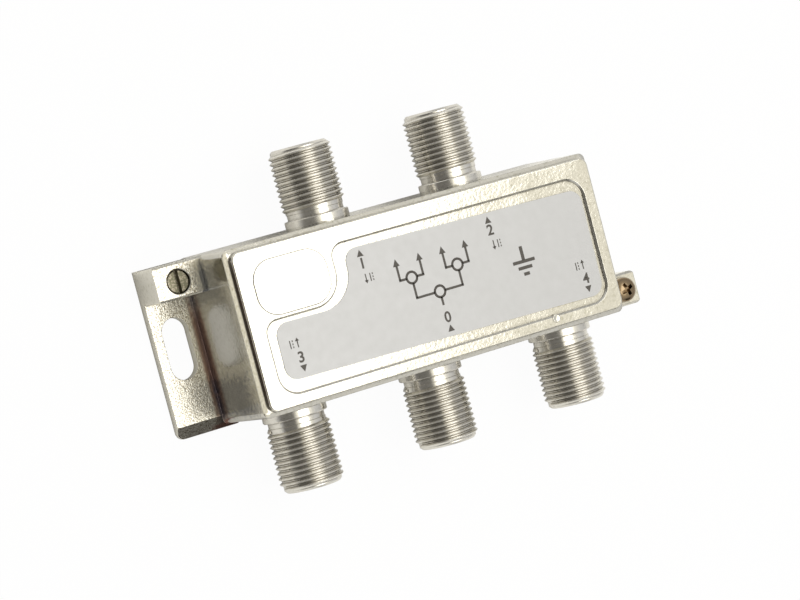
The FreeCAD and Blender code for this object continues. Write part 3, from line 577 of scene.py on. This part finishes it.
@dataclass
class Thread:
    """A rolled or cast V thread: one helical ridge on a plain core."""

    outer: float
    pitch: float
    depth: float
    start: float
    end: float
    lead: float
    steps: int = 56
    # How deep the ridge's foot lies in the core
    sink: float = 0.1
    # Half the ridge's width at its foot, as a share of the pitch
    foot_share: float = 0.47
    # Half a ridge from foot to crest: share of the depth against share of the half width
    flank: tuple[Point, ...] = ((0.0, 0.92), (0.5, 0.56), (0.9, 0.22), (1.0, 0.08))
    # How fast the crest rises from the core where the thread runs out
    run_out: float = 0.5

    def limit(self, height: float) -> float:
        """Return the largest radius that the run-out and the end chamfer leave at a height."""
        root = self.outer / 2 - self.depth
        rise = root + max(0.0, height - self.start) * self.run_out
        fall = self.outer / 2 - max(0.0, height - (self.end - self.lead))
        return min(self.outer / 2, rise, fall)

    def build(self, name: str) -> Piece:
        """Wind the ridge about Y and trim it to its run-out and chamfer."""
        foot = self.foot_share * self.pitch
        middle = self.start + foot
        base = self.outer / 2 - self.depth - self.sink
        section = [(base, middle - foot)]
        for sign, half in ((-1.0, self.flank), (1.0, self.flank[::-1])):
            for rise, reach in half:
                section.append((base + self.sink + rise * self.depth, middle + sign * reach * foot))
        section.append((base, middle + foot))
        turns = int((self.end - self.start - 2 * foot) / self.pitch)
        ridge = turn_profile(name, section, self.steps, self.pitch, turns)
        for vertex in ridge.data.vertices:
            radius = math.hypot(vertex.co.x, vertex.co.z)
            most = self.limit(vertex.co.y / MM) * MM
            if radius > most:
                vertex.co.x *= most / radius
                vertex.co.z *= most / radius
        ridge.data.update()
        return ridge


@dataclass
class PortBarrel:
    """The threaded end of one port, from its neck to its chamfered mouth."""

    name: str
    x: float
    side: Side
    axis_height: float = 9.0
    outer: float = 9.525
    pitch: float = 0.79375
    thread_depth: float = 0.42
    collar: float = 9.7
    collar_end: float = 13.8
    neck: float = 8.5
    edge: float = 0.12
    bore: float = 6.2
    foot: float = 12.7
    # The thread in the photo starts 0.25 mm nearer the case than the source's neck ends
    start: float = 14.65
    end: float = 24.4
    chamfer: float = 0.75
    root_rise: float = 0.05
    lip: float = 0.2

    def build(self) -> Piece:
        """Make the core and the thread, join them and stand them on their side of the case."""
        thread = Thread(self.outer, self.pitch, self.thread_depth, self.start, self.end,
                        self.chamfer)
        root = self.outer / 2 - self.thread_depth
        inner = self.bore / 2
        shoulder = self.end - self.chamfer + self.thread_depth
        core = turn_profile(f"core_{self.name}", [
            (inner, self.foot),
            (self.collar / 2, self.foot),
            (self.collar / 2, self.collar_end - self.edge),
            (self.collar / 2 - self.edge, self.collar_end),
            (self.neck / 2 + self.edge, self.collar_end),
            (self.neck / 2, self.collar_end + self.edge),
            (self.neck / 2, self.start),
            (root, self.start + self.root_rise),
            (root, shoulder),
            (self.outer / 2 - self.chamfer, self.end),
            (inner + self.lip, self.end),
            (inner, self.end - self.lip),
        ])
        ridge = thread.build(f"ridge_{self.name}")
        smooth(core, 32.0)
        smooth(ridge, 60.0)
        barrel = join([core, ridge], f"port_thread_{self.name}")
        shift(barrel, self.x, 0.0, self.axis_height, self.side.value)
        return barrel


@dataclass
class Casting:
    """The zinc casting: the solid's own case, tab, block and lug, with threads on its ports."""

    # How far from the middle plane the plain barrels are cut off, and half the width of the cut
    cut: float = 12.7
    neck: float = 5.0
    # How near the cut an edge's end lies on it
    near: float = 0.01
    edge: float = 0.12
    # Angles in degrees: faces this flat are one, and edges this sharp are bevelled
    flat: float = 0.6
    sharp: float = 32.0
    # Middle of the ring that an ejector pin leaves
    mark: Place = (18.26, -10.45, 18.0)
    ports: list[PortBarrel] = field(default_factory=lambda: [
        PortBarrel("in", 0.0, Side.LOWER),
        PortBarrel("out_1", -11.45, Side.UPPER),
        PortBarrel("out_2", 11.45, Side.UPPER),
        PortBarrel("out_3", -23.0, Side.LOWER),
        PortBarrel("out_4", 23.0, Side.LOWER),
    ])

    def build_case(self) -> Piece:
        """Copy the housing and cut its plain barrels off where the threads begin."""
        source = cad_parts["housing"]
        activate(source)
        bpy.ops.object.duplicate()
        case = bpy.context.object
        case.name = "casting"
        case.data.name = "casting"

        def clean() -> None:
            bpy.ops.mesh.dissolve_limited(angle_limit=math.radians(self.flat))
            bpy.ops.mesh.normals_make_consistent(inside=False)

        edit(case, lambda: bpy.ops.mesh.remove_doubles(threshold=MERGE_BUILT * MM))
        for port in self.ports:
            self.cut_barrel(case, port)
            self.close_neck(case, port)
        edit(case, clean)
        activate(case)
        soften = case.modifiers.new("edges", "BEVEL")
        soften.limit_method = "ANGLE"
        soften.angle_limit = math.radians(self.sharp)
        soften.width = self.edge * MM
        soften.segments = 2
        soften.use_clamp_overlap = True
        bpy.ops.object.modifier_apply(modifier=soften.name)
        smooth(case, 40.0)
        return case

    def cut_barrel(self, case: Piece, port: PortBarrel) -> None:
        """Cut one plain barrel off just outside the case's side."""
        sign = port.side.sign
        select_where(case, "FACE", lambda corners: (
            all(abs(corner.x - port.x * MM) < self.neck * MM for corner in corners)
            and any(sign * corner.y > self.cut * MM for corner in corners)))
        bpy.ops.mesh.bisect(plane_co=(0.0, sign * self.cut * MM, 0.0), plane_no=(0.0, sign, 0.0),
                            clear_outer=True)
        bpy.ops.mesh.select_mode(type="VERT")
        bpy.ops.object.mode_set(mode="OBJECT")

    def close_neck(self, case: Piece, port: PortBarrel) -> None:
        """Bridge the two open rings that the cut leaves at one port's neck."""
        level = port.side.sign * self.cut * MM
        select_where(case, "EDGE", lambda ends: all(
            abs(end.y - level) < self.near * MM and abs(end.x - port.x * MM) < self.neck * MM
            for end in ends))
        bpy.ops.mesh.bridge_edge_loops()
        bpy.ops.mesh.select_mode(type="VERT")
        bpy.ops.object.mode_set(mode="OBJECT")

    def build_ejector_mark(self) -> Piece:
        """Turn the low witness ring that an ejector pin leaves on the panel's frame."""
        mark = turn_profile("ejector_mark", [
            (0.0, -0.05), (0.62, -0.05), (0.62, 0.03), (0.54, 0.09), (0.44, 0.09), (0.34, 0.03),
            (0.0, 0.015),
        ], 40)
        mark.data.transform(UPRIGHT)
        shift(mark, *self.mark)
        smooth(mark, 35.0)
        return mark

    def dress(self, plating: bpy.types.Material, thread_plating: bpy.types.Material) -> None:
        """Build every part of the casting and give it its plating."""
        give(self.build_ejector_mark(), plating, BODY)
        case = self.build_case()
        give(case, plating, BODY)
        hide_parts("housing")
        for port in self.ports:
            barrel = port.build()
            give(barrel, thread_plating, BODY)
            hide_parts("housing")


@dataclass
class CrossScrew:
    """The lug's screw: a domed head with a cross recess on a threaded shank."""

    x: float = 33.9
    y: float = -9.7
    seat: float = 12.15
    turn: float = 24.0
    head: float = 3.8
    height: float = 1.7
    # Share of the head's height that stands upright below its dome
    rim: float = 0.45
    dome_steps: int = 6
    shank: float = 2.5
    length: float = 6.5
    pitch: float = 0.45
    thread_depth: float = 0.28
    # The point: how much smaller its radius is, and how long it is
    point: float = 0.45
    point_length: float = 0.3
    # The thread's distance from the tip and its chamfer, and how far the core goes into the head
    thread_gap: float = 0.05
    thread_lead: float = 0.1
    core_reach: float = 0.1
    # The cross: length and width of a bar, its height, its middle's depth, and its foot's taper
    cross: float = 2.7
    slot: float = 0.75
    bar: float = 1.6
    bar_drop: float = 0.1
    taper: float = 0.55

    def build(self) -> Piece:
        """Turn the head, cut its cross, wind the thread and stand the screw in the lug."""
        radius = self.head / 2
        dome = [(0.0, 0.0), (radius, 0.0), (radius, self.height * self.rim)]
        for index in range(1, self.dome_steps + 1):
            angle = index / self.dome_steps * math.pi / 2
            dome.append((radius * math.cos(angle) if index < self.dome_steps else 0.0,
                         self.height * (self.rim + (1.0 - self.rim) * math.sin(angle))))
        head = turn_profile("lug_screw_head", dome, 64)
        self.cut_cross(head)
        root = self.shank / 2 - self.thread_depth
        core = turn_profile("lug_screw_core", [
            (0.0, -self.length),
            (self.shank / 2 - self.point, -self.length),
            (root, -self.length + self.point_length),
            (root, self.core_reach),
            (0.0, self.core_reach),
        ], 40)
        thread = Thread(self.shank, self.pitch, self.thread_depth, -self.length + self.thread_gap,
                        0.0, self.thread_lead, 40)
        ridge = thread.build("lug_screw_ridge")
        screw = join([head, core, ridge], "lug_screw_detail")
        screw.data.transform(UPRIGHT)
        shift(screw, self.x, self.y, self.seat, math.radians(self.turn))
        smooth(screw, 30.0)
        return screw

    def cut_cross(self, head: Piece) -> None:
        """Cut the cross recess out of the head with two crossed, tapered bars."""
        for wide, deep in ((self.cross, self.slot), (self.slot, self.cross)):
            bpy.ops.object.select_all(action="DESELECT")
            bpy.ops.mesh.primitive_cube_add(size=MM)
            bar = bpy.context.object
            bar.data.transform(Matrix.Diagonal((wide, self.bar, deep, 1.0)))
            for vertex in bar.data.vertices:
                if vertex.co.y < 0.0:
                    vertex.co.x *= self.taper
                    vertex.co.z *= self.taper
            middle = (0.0, (self.height - self.bar_drop) * MM, 0.0)
            bar.data.transform(Matrix.Translation(middle))
            activate(head)
            cutter = head.modifiers.new("cross", "BOOLEAN")
            cutter.operation = "DIFFERENCE"
            cutter.solver = "EXACT"
            cutter.object = bar
            bpy.ops.object.modifier_apply(modifier=cutter.name)
            bpy.data.objects.remove(bar)

    def dress(self, metal: bpy.types.Material) -> None:
        """Build the screw and let it stand for the plain one."""
        screw = self.build()
        give(screw, metal, "lug_screw")
        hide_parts("lug_screw")


@dataclass
class LabelPrint:
    """Printed marks on the label: triangles, plain numbers, arrows and a line diagram."""

    height: float = 17.6
    thickness: float = 0.012
    turn: float = math.radians(-0.9)
    # Line widths of the diagram, the current arrow, the direct-current sign and the earth sign
    line: float = 0.36
    arrow_line: float = 0.17
    sign_line: float = 0.16
    stem_line: float = 0.55
    bar_line: float = 0.5
    bold: float = 0.05
    figure: float = 2.2
    # Each number's port triangle and current arrow, measured from its middle along Y
    triangle_off: float = 1.6
    arrow_off: float = 2.15
    # Each output's number, its middle and the way that its triangle points
    outputs: tuple[tuple[str, float, float, Heading], ...] = (
        ("1", -10.26, 5.30, Heading.UP),
        ("2", 11.43, 4.90, Heading.UP),
        ("3", -23.38, -5.22, Heading.DOWN),
        ("4", 25.18, -6.06, Heading.DOWN),
    )

    def plate(self, corners: Sequence[Point]) -> Piece:
        """Make one flat mark from its corners.

        Args:
            corners: Corners in millimetres, counter-clockwise.

        Returns:
            A thin closed plate that lies on the label.
        """
        bpy.ops.object.select_all(action="DESELECT")
        bpy.ops.mesh.primitive_circle_add(vertices=len(corners), radius=MM, fill_type="NGON")
        mark = bpy.context.object
        for vertex, (x, y) in zip(mark.data.vertices, corners):
            vertex.co = Vector((x, y, self.height)) * MM

        def raise_up() -> None:
            rise = (0.0, 0.0, self.thickness * MM)
            bpy.ops.mesh.extrude_region_move(TRANSFORM_OT_translate={"value": rise})
            tidy_normals()

        edit(mark, raise_up)
        return mark

    def stroke(self, start: Point, end: Point, width: float) -> Piece:
        """Make one straight line of a given width between two points."""
        along = Vector((end[0] - start[0], end[1] - start[1])).normalized()
        across = Vector((-along.y, along.x)) * width / 2
        return self.plate([
            (start[0] - across.x, start[1] - across.y), (end[0] - across.x, end[1] - across.y),
            (end[0] + across.x, end[1] + across.y), (start[0] + across.x, start[1] + across.y),
        ])

    def triangle(self, x: float, y: float, heading: Heading, half: float = 0.55,
                 high: float = 1.0) -> Piece:
        """Make one solid triangle about a middle."""
        sign = heading.value
        return self.plate([
            (x - sign * half, y - sign * high / 2), (x + sign * half, y - sign * high / 2),
            (x, y + sign * high / 2),
        ])

    def number(self, text: str, x: float, y: float, size: float) -> Piece:
        """Make one plain number about a middle."""
        bpy.ops.object.select_all(action="DESELECT")
        bpy.ops.object.text_add()
        mark = bpy.context.object
        mark.data.body = text
        mark.data.size = size * MM
        mark.data.align_x = "CENTER"
        mark.data.align_y = "CENTER"
        mark.data.extrude = self.thickness / 2 * MM
        mark.data.offset = self.bold * MM
        bpy.ops.object.convert(target="MESH")
        edit(mark, tidy_normals)
        shift(mark, x, y, self.height + self.thickness / 2, self.turn)
        return mark

    def ring(self, x: float, y: float, radius: float, width: float) -> Piece:
        """Make one thin ring."""
        piece = turn_profile("print_ring", [
            (radius - width / 2, 0.0), (radius + width / 2, 0.0),
            (radius + width / 2, self.thickness), (radius - width / 2, self.thickness),
        ], 48)
        piece.data.transform(UPRIGHT)
        shift(piece, x, y, self.height)
        return piece

    def output_marks(self) -> list[Piece]:
        """Make each output's triangle, number, current arrow and direct-current sign."""
        marks = []
        for text, x, y, heading in self.outputs:
            sign = heading.value
            marks.append(self.triangle(x, y + sign * self.triangle_off, heading))
            marks.append(self.number(text, x, y, self.figure))
            inner = y - sign * self.arrow_off
            marks.append(self.stroke((x, inner + sign * 0.65), (x, inner - sign * 0.4),
                                     self.arrow_line))
            marks.append(self.triangle(x, inner - sign * 0.55, Heading(-sign), 0.33, 0.5))
            # The direct-current sign lies beside the arrow: one long line and three dashes
            beside = x + sign * 0.95
            for across, along, half in ((-0.22, 0.0, 0.6), (0.2, -0.45, 0.13), (0.2, 0.0, 0.13),
                                        (0.2, 0.45, 0.13)):
                marks.append(self.stroke((beside + across, inner + along + half),
                                         (beside + across, inner + along - half),
                                         self.sign_line))
        return marks

    def diagram(self) -> list[Piece]:
        """Make the line diagram: one line in, a first fork, and two more forks to four ends."""
        x, low, fork, top = 0.8, -3.8, -1.7, 1.4
        round_half, arm, branch_arm, end_rise, tip_rise = 0.85, 3.9, 1.95, 2.2, 2.7
        marks = [
            self.stroke((x, low), (x, fork - round_half), self.line),
            self.ring(x, fork, round_half, self.line),
        ]
        for sign in (-1.0, 1.0):
            node = x + sign * arm
            marks.append(self.stroke((x + sign * round_half, fork),
                                     (node + sign * self.line / 2, fork), self.line))
            marks.append(self.stroke((node, fork), (node, top - round_half), self.line))
            marks.append(self.ring(node, top, round_half, self.line))
            for branch in (-1.0, 1.0):
                end = node + branch * branch_arm
                marks.append(self.stroke((node + branch * round_half, top),
                                         (end + branch * self.line / 2, top), self.line))
                marks.append(self.stroke((end, top), (end, top + end_rise), self.line))
                marks.append(self.triangle(end, top + tip_rise, Heading.UP, 0.55, 1.1))
        return marks

    def earth_sign(self) -> list[Piece]:
        """Make the bold earth sign towards the lug."""
        x, y = 15.6, -0.9
        marks = [self.stroke((x, y + 2.3), (x, y + 0.2), self.stem_line)]
        for index, half in enumerate((1.9, 1.2, 0.5)):
            level = y - index * 0.95
            marks.append(self.stroke((x - half, level), (x + half, level), self.bar_line))
        return marks

    def dress(self, ink: bpy.types.Material) -> None:
        """Build every mark, join them into one print and give it its ink."""
        marks = self.output_marks() + self.diagram() + self.earth_sign()
        marks.append(self.triangle(1.0, -7.3, Heading.UP))
        marks.append(self.number("0", 0.96, -5.7, self.figure))
        give(join(marks, "label_print"), ink, BODY)


@dataclass
class CarriedNodes:
    """The solids that keep their own shape and only take a better finish."""

    finishes: dict[str, bpy.types.Material]

    def dress(self) -> None:
        """Give each node the finish whose key its name starts with."""
        for name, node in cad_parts.items():
            for stem, finish in self.finishes.items():
                if name.startswith(stem):
                    for slot in node.material_slots:
                        slot.material = finish
                    LOG.info("%s takes %s", name, finish.name)


# Studio


@dataclass
class Studio:
    """White table, one soft lamp overhead, a pale room with one dark side, and the camera."""

    # The camera fitted to the photo: focal length, sensor, near limit, place and its three axes
    lens: float = 125.846
    sensor: float = 36.0
    near: float = 10.0
    eye: Place = (-183.31740324, 19.894805, 384.20444585)
    right: Place = (0.864294585739779, -0.2558243282786022, 0.4330690269711121)
    down: Place = (-0.2524430469968935, -0.9653286353805062, -0.06643142131050864)
    forward: Place = (0.43504870656494093, -0.05190894696689661, -0.8989093859455246)
    # The lamp: its two sides, its place, its turn about Z in degrees and its power in watts
    lamp: Point = (340.0, 700.0)
    lamp_place: Place = (125.0, 30.0, 600.0)
    lamp_turn: float = -28.0
    lamp_power: float = 1.5
    # Light of the room against the sine of the height that it comes from
    room: tuple[tuple[float, Any], ...] = (
        (0.0, 0.52), (0.25, 0.60), (0.6, 0.72), (1.0, (1.08, 1.03, 0.87, 1.0)))
    # Dark side of the room: direction, outer and inner half angle in degrees, shade
    dark_side: tuple[Place, float, float, str] = ((0.40, -0.90, 0.22), 26.0, 10.0, "565450")
    # Dark gap between lamp and wall, a band along Y: tilt from upright to -X, half widths, shade
    gap: tuple[float, float, float, str] = (52.0, 36.0, 24.0, "74726e")
    # The band fades towards its two ends, between these cosines of the angle from its middle
    gap_ends: Point = (0.66, 0.85)
    # The table: its side, how far it lies under the splitter, and how much it glows for the camera
    table_side: float = 6000.0
    table_drop: float = 0.02
    table_glow: float = 0.96
    fibre_mm: float = 0.4

    def add_camera(self) -> None:
        """Set the camera at the photograph's place, turn and focal length."""
        data = bpy.data.cameras.new("camera")
        data.sensor_fit = "HORIZONTAL"
        data.sensor_width = self.sensor
        data.lens = self.lens
        data.clip_start = self.near * MM
        camera = bpy.data.objects.new("camera", data)
        bpy.context.scene.collection.objects.link(camera)
        axes = (Vector(self.right), -Vector(self.down), -Vector(self.forward))
        turn = Matrix(axes).transposed().to_4x4()
        camera.matrix_world = Matrix.Translation(Vector(self.eye) * MM) @ turn
        bpy.context.scene.camera = camera

    def add_lamp(self) -> None:
        """Hang the soft lamp over the splitter, a little towards the lug."""
        lamp = bpy.data.lights.new("soft_lamp", "AREA")
        lamp.shape = "RECTANGLE"
        lamp.size = self.lamp[0] * MM
        lamp.size_y = self.lamp[1] * MM
        lamp.energy = self.lamp_power
        holder = bpy.data.objects.new("soft_lamp", lamp)
        holder.location = Vector(self.lamp_place) * MM
        holder.rotation_euler = (0.0, 0.0, math.radians(self.lamp_turn))
        bpy.context.scene.collection.objects.link(holder)

    def add_room(self) -> None:
        """Light the rest from a pale room: bright above, greyer low down, one dark side."""
        world = bpy.data.worlds.new("pale_room")
        bpy.context.scene.world = world
        tree = bare_tree(world)
        way = add_node(tree, "ShaderNodeTexCoord").outputs["Generated"]
        parts = add_node(tree, "ShaderNodeSeparateXYZ", {"Vector": way})
        rise = add_node(tree, "ShaderNodeValToRGB", {"Fac": parts.outputs["Z"]})
        set_ramp(rise, self.room)
        tone = self.add_dark_side(tree, way, rise.outputs["Color"])
        tone = self.add_gap(tree, way, tone)
        path = add_node(tree, "ShaderNodeLightPath")
        seen = blend(tree, path.outputs["Is Camera Ray"], tone, WHITE)
        light = add_node(tree, "ShaderNodeBackground", {"Color": seen, "Strength": 1.0})
        add_node(tree, "ShaderNodeOutputWorld", {"Surface": light.outputs["Background"]})

    def add_dark_side(self, tree: Tree, way: Socket, tone: Socket) -> Socket:
        """Darken one side of the room.

        Args:
            tree: The room's node tree.
            way: Direction that is looked in.
            tone: Colour of the room without the dark side.

        Returns:
            Colour of the room with the dark side.
        """
        direction, outer, inner, shade = self.dark_side
        near = vector_math(tree, "DOT_PRODUCT", way, Vector(direction).normalized())
        dark = remap(tree, near.outputs["Value"], math.cos(math.radians(outer)),
                     math.cos(math.radians(inner)), soft=True)
        return blend(tree, dark, tone, hex_colour(shade))

    def add_gap(self, tree: Tree, way: Socket, tone: Socket) -> Socket:
        """Darken the band of the room between the lamp and the wall on the tab's side.

        Args:
            tree: The room's node tree.
            way: Direction that is looked in.
            tone: Colour of the room without the band.

        Returns:
            Colour of the room with the band.
        """
        tilt, outer, inner, shade = self.gap
        lean = math.radians(tilt)
        across = Vector((math.cos(lean), 0.0, math.sin(lean)))
        upwards = Vector((-math.sin(lean), 0.0, math.cos(lean)))
        off = number_math(tree, "ABSOLUTE",
                          vector_math(tree, "DOT_PRODUCT", way, across).outputs["Value"])
        band = remap(tree, off, math.sin(math.radians(outer)), math.sin(math.radians(inner)),
                     soft=True)
        up = vector_math(tree, "DOT_PRODUCT", way, upwards).outputs["Value"]
        share = number_math(tree, "MULTIPLY", band, remap(tree, up, *self.gap_ends))
        return blend(tree, share, tone, hex_colour(shade))

    def add_table(self) -> None:
        """Lay the white table under the splitter; it keeps a faint shadow."""
        bpy.ops.object.select_all(action="DESELECT")
        bpy.ops.mesh.primitive_plane_add(size=self.table_side * MM, location=(0.0, 0.0, 0.0))
        table = bpy.context.object
        table.name = "table"
        table.data.transform(Matrix.Translation((0.0, 0.0, -self.table_drop * MM)))
        paper = bpy.data.materials.new("white_paper")
        tree = bare_tree(paper)
        place = add_node(tree, "ShaderNodeTexCoord").outputs["Object"]
        # Paper fibre, too fine to show from here
        fibre = add_noise(tree, place, self.fibre_mm, 2.0)
        tone = blend(tree, fibre, hex_colour("fafafa"), hex_colour("f4f4f3"))
        matt = add_node(tree, "ShaderNodeBsdfDiffuse", {"Color": tone})
        glow = add_node(tree, "ShaderNodeEmission", {"Color": WHITE, "Strength": 1.0})
        path = add_node(tree, "ShaderNodeLightPath")
        share = number_math(tree, "MULTIPLY", path.outputs["Is Camera Ray"], self.table_glow)
        both = add_node(tree, "ShaderNodeMixShader",
                        {0: share, 1: matt.outputs["BSDF"], 2: glow.outputs["Emission"]})
        add_node(tree, "ShaderNodeOutputMaterial", {"Surface": both.outputs["Shader"]})
        table.data.materials.append(paper)

    def build(self) -> None:
        """Set up the whole studio."""
        bpy.context.scene.view_settings.view_transform = "Standard"
        self.add_camera()
        self.add_lamp()
        self.add_room()
        self.add_table()


def main() -> None:
    """Build the pieces in order, dress them and set up the studio."""
    logging.basicConfig(level=logging.INFO, format="%(name)s: %(message)s")
    casting_plating = NickelPlating(
        "nickel_plated_casting", "dfdcd2", "aaa590", Grain.SANDY, 0.14, sandy=(-31.4, 0.018),
        painted_darkenings=(
            # Painted shade in the step up to the panel, on the tab's side
            PaintedDarkening((-30.1, 0.0, 17.25), (0.16, 11.9, 0.68), 0.9, "6b5547", 0.3),
            # Painted shade in the corner between the tab and the end wall
            PaintedDarkening((-31.3, -3.0, 2.1), (0.95, 13.0, 1.6), 0.8, "7c5746", 0.6, 0.6),
            # The end wall: a painted dark reflection all over, strongest towards its two ends
            PaintedDarkening((-31.0, 0.0, 8.0), (0.5, 14.0, 8.6), 0.25, "6a6f80", 0.3),
            PaintedDarkening((-31.0, -8.6, 7.0), (0.5, 3.6, 8.5), 0.65, "4d505f", 1.2, 0.5),
            PaintedDarkening((-31.0, 8.0, 7.0), (0.5, 3.4, 8.0), 0.5, "585c66", 1.2, 0.5),
            # The end of the tab's heel: colour painted darker brown low down
            PaintedDarkening((-30.4, -12.9, 0.6), (2.6, 0.7, 1.2), 0.75, "96594a", 0.8, 0.5),
        ))
    # The threads take a little less painted shade in their inner corners than the case
    thread_plating = NickelPlating("nickel_plated_thread", "e2dfd8", "bfbcb2", Grain.FINE, 0.24,
                                   0.4, 0.05, corner_shade_share=0.5)
    screw_metal = TurnedMetal("nickel_plated_steel", "8f7d64", 0.2)
    ink = PlainCoat("screen_ink", "47433e", "57524c", 0.5, 0.3)
    Casting().dress(casting_plating.build(), thread_plating.build())
    CrossScrew().dress(screw_metal.build())
    LabelPrint().dress(ink.build())
    CarriedNodes({
        "label": PlainCoat("silver_film", "c9c9ca", "c3c3c3", 0.42, 1.2, 0.002, 0.25).build(),
        "block_screw": NickelPlating("worn_nickel", "75725f", "4f4c38", Grain.SANDY, 0.34, 1.0,
                                     sandy=(0.0, 0.02)).build(),
        "back_cover": TurnedMetal("tinned_sheet", "c2c2be", 0.3, 0.5, (1.0, 9.0, 1.0)).build(),
        "circuit_board": PlainCoat("glass_laminate", "1f6b3a", "195a31", 0.4, 0.8).build(),
        "port_insulator": PlainCoat("white_acetal", "ece9df", "e4e1d6", 0.32, 2.0).build(),
        "port_contact": TurnedMetal("tinned_brass", "c8ad6a", 0.22).build(),
        "match_core": PlainCoat("sintered_ferrite", "2b2b2d", "38383a", 0.6, 0.4).build(),
        "split_core": PlainCoat("sintered_ferrite_2", "2b2b2d", "38383a", 0.6, 0.4).build(),
        "match_winding": TurnedMetal("enamelled_copper", "a8552a", 0.25).build(),
        "split_winding": TurnedMetal("enamelled_copper_2", "a8552a", 0.25).build(),
        "balance_resistor": PlainCoat("black_glaze", "141416", "1e1e20", 0.25, 0.5).build(),
        "coupling_capacitor": PlainCoat("tan_ceramic", "a58660", "97784f", 0.4, 0.5).build(),
        "choke": PlainCoat("coated_ferrite", "303033", "3b3b3e", 0.45, 0.5).build(),
        "steering_diode": PlainCoat("black_epoxy", "18181a", "222224", 0.3, 0.5).build(),
    }).dress()
    Studio().build()


if __name__ == "__main__":
    main()
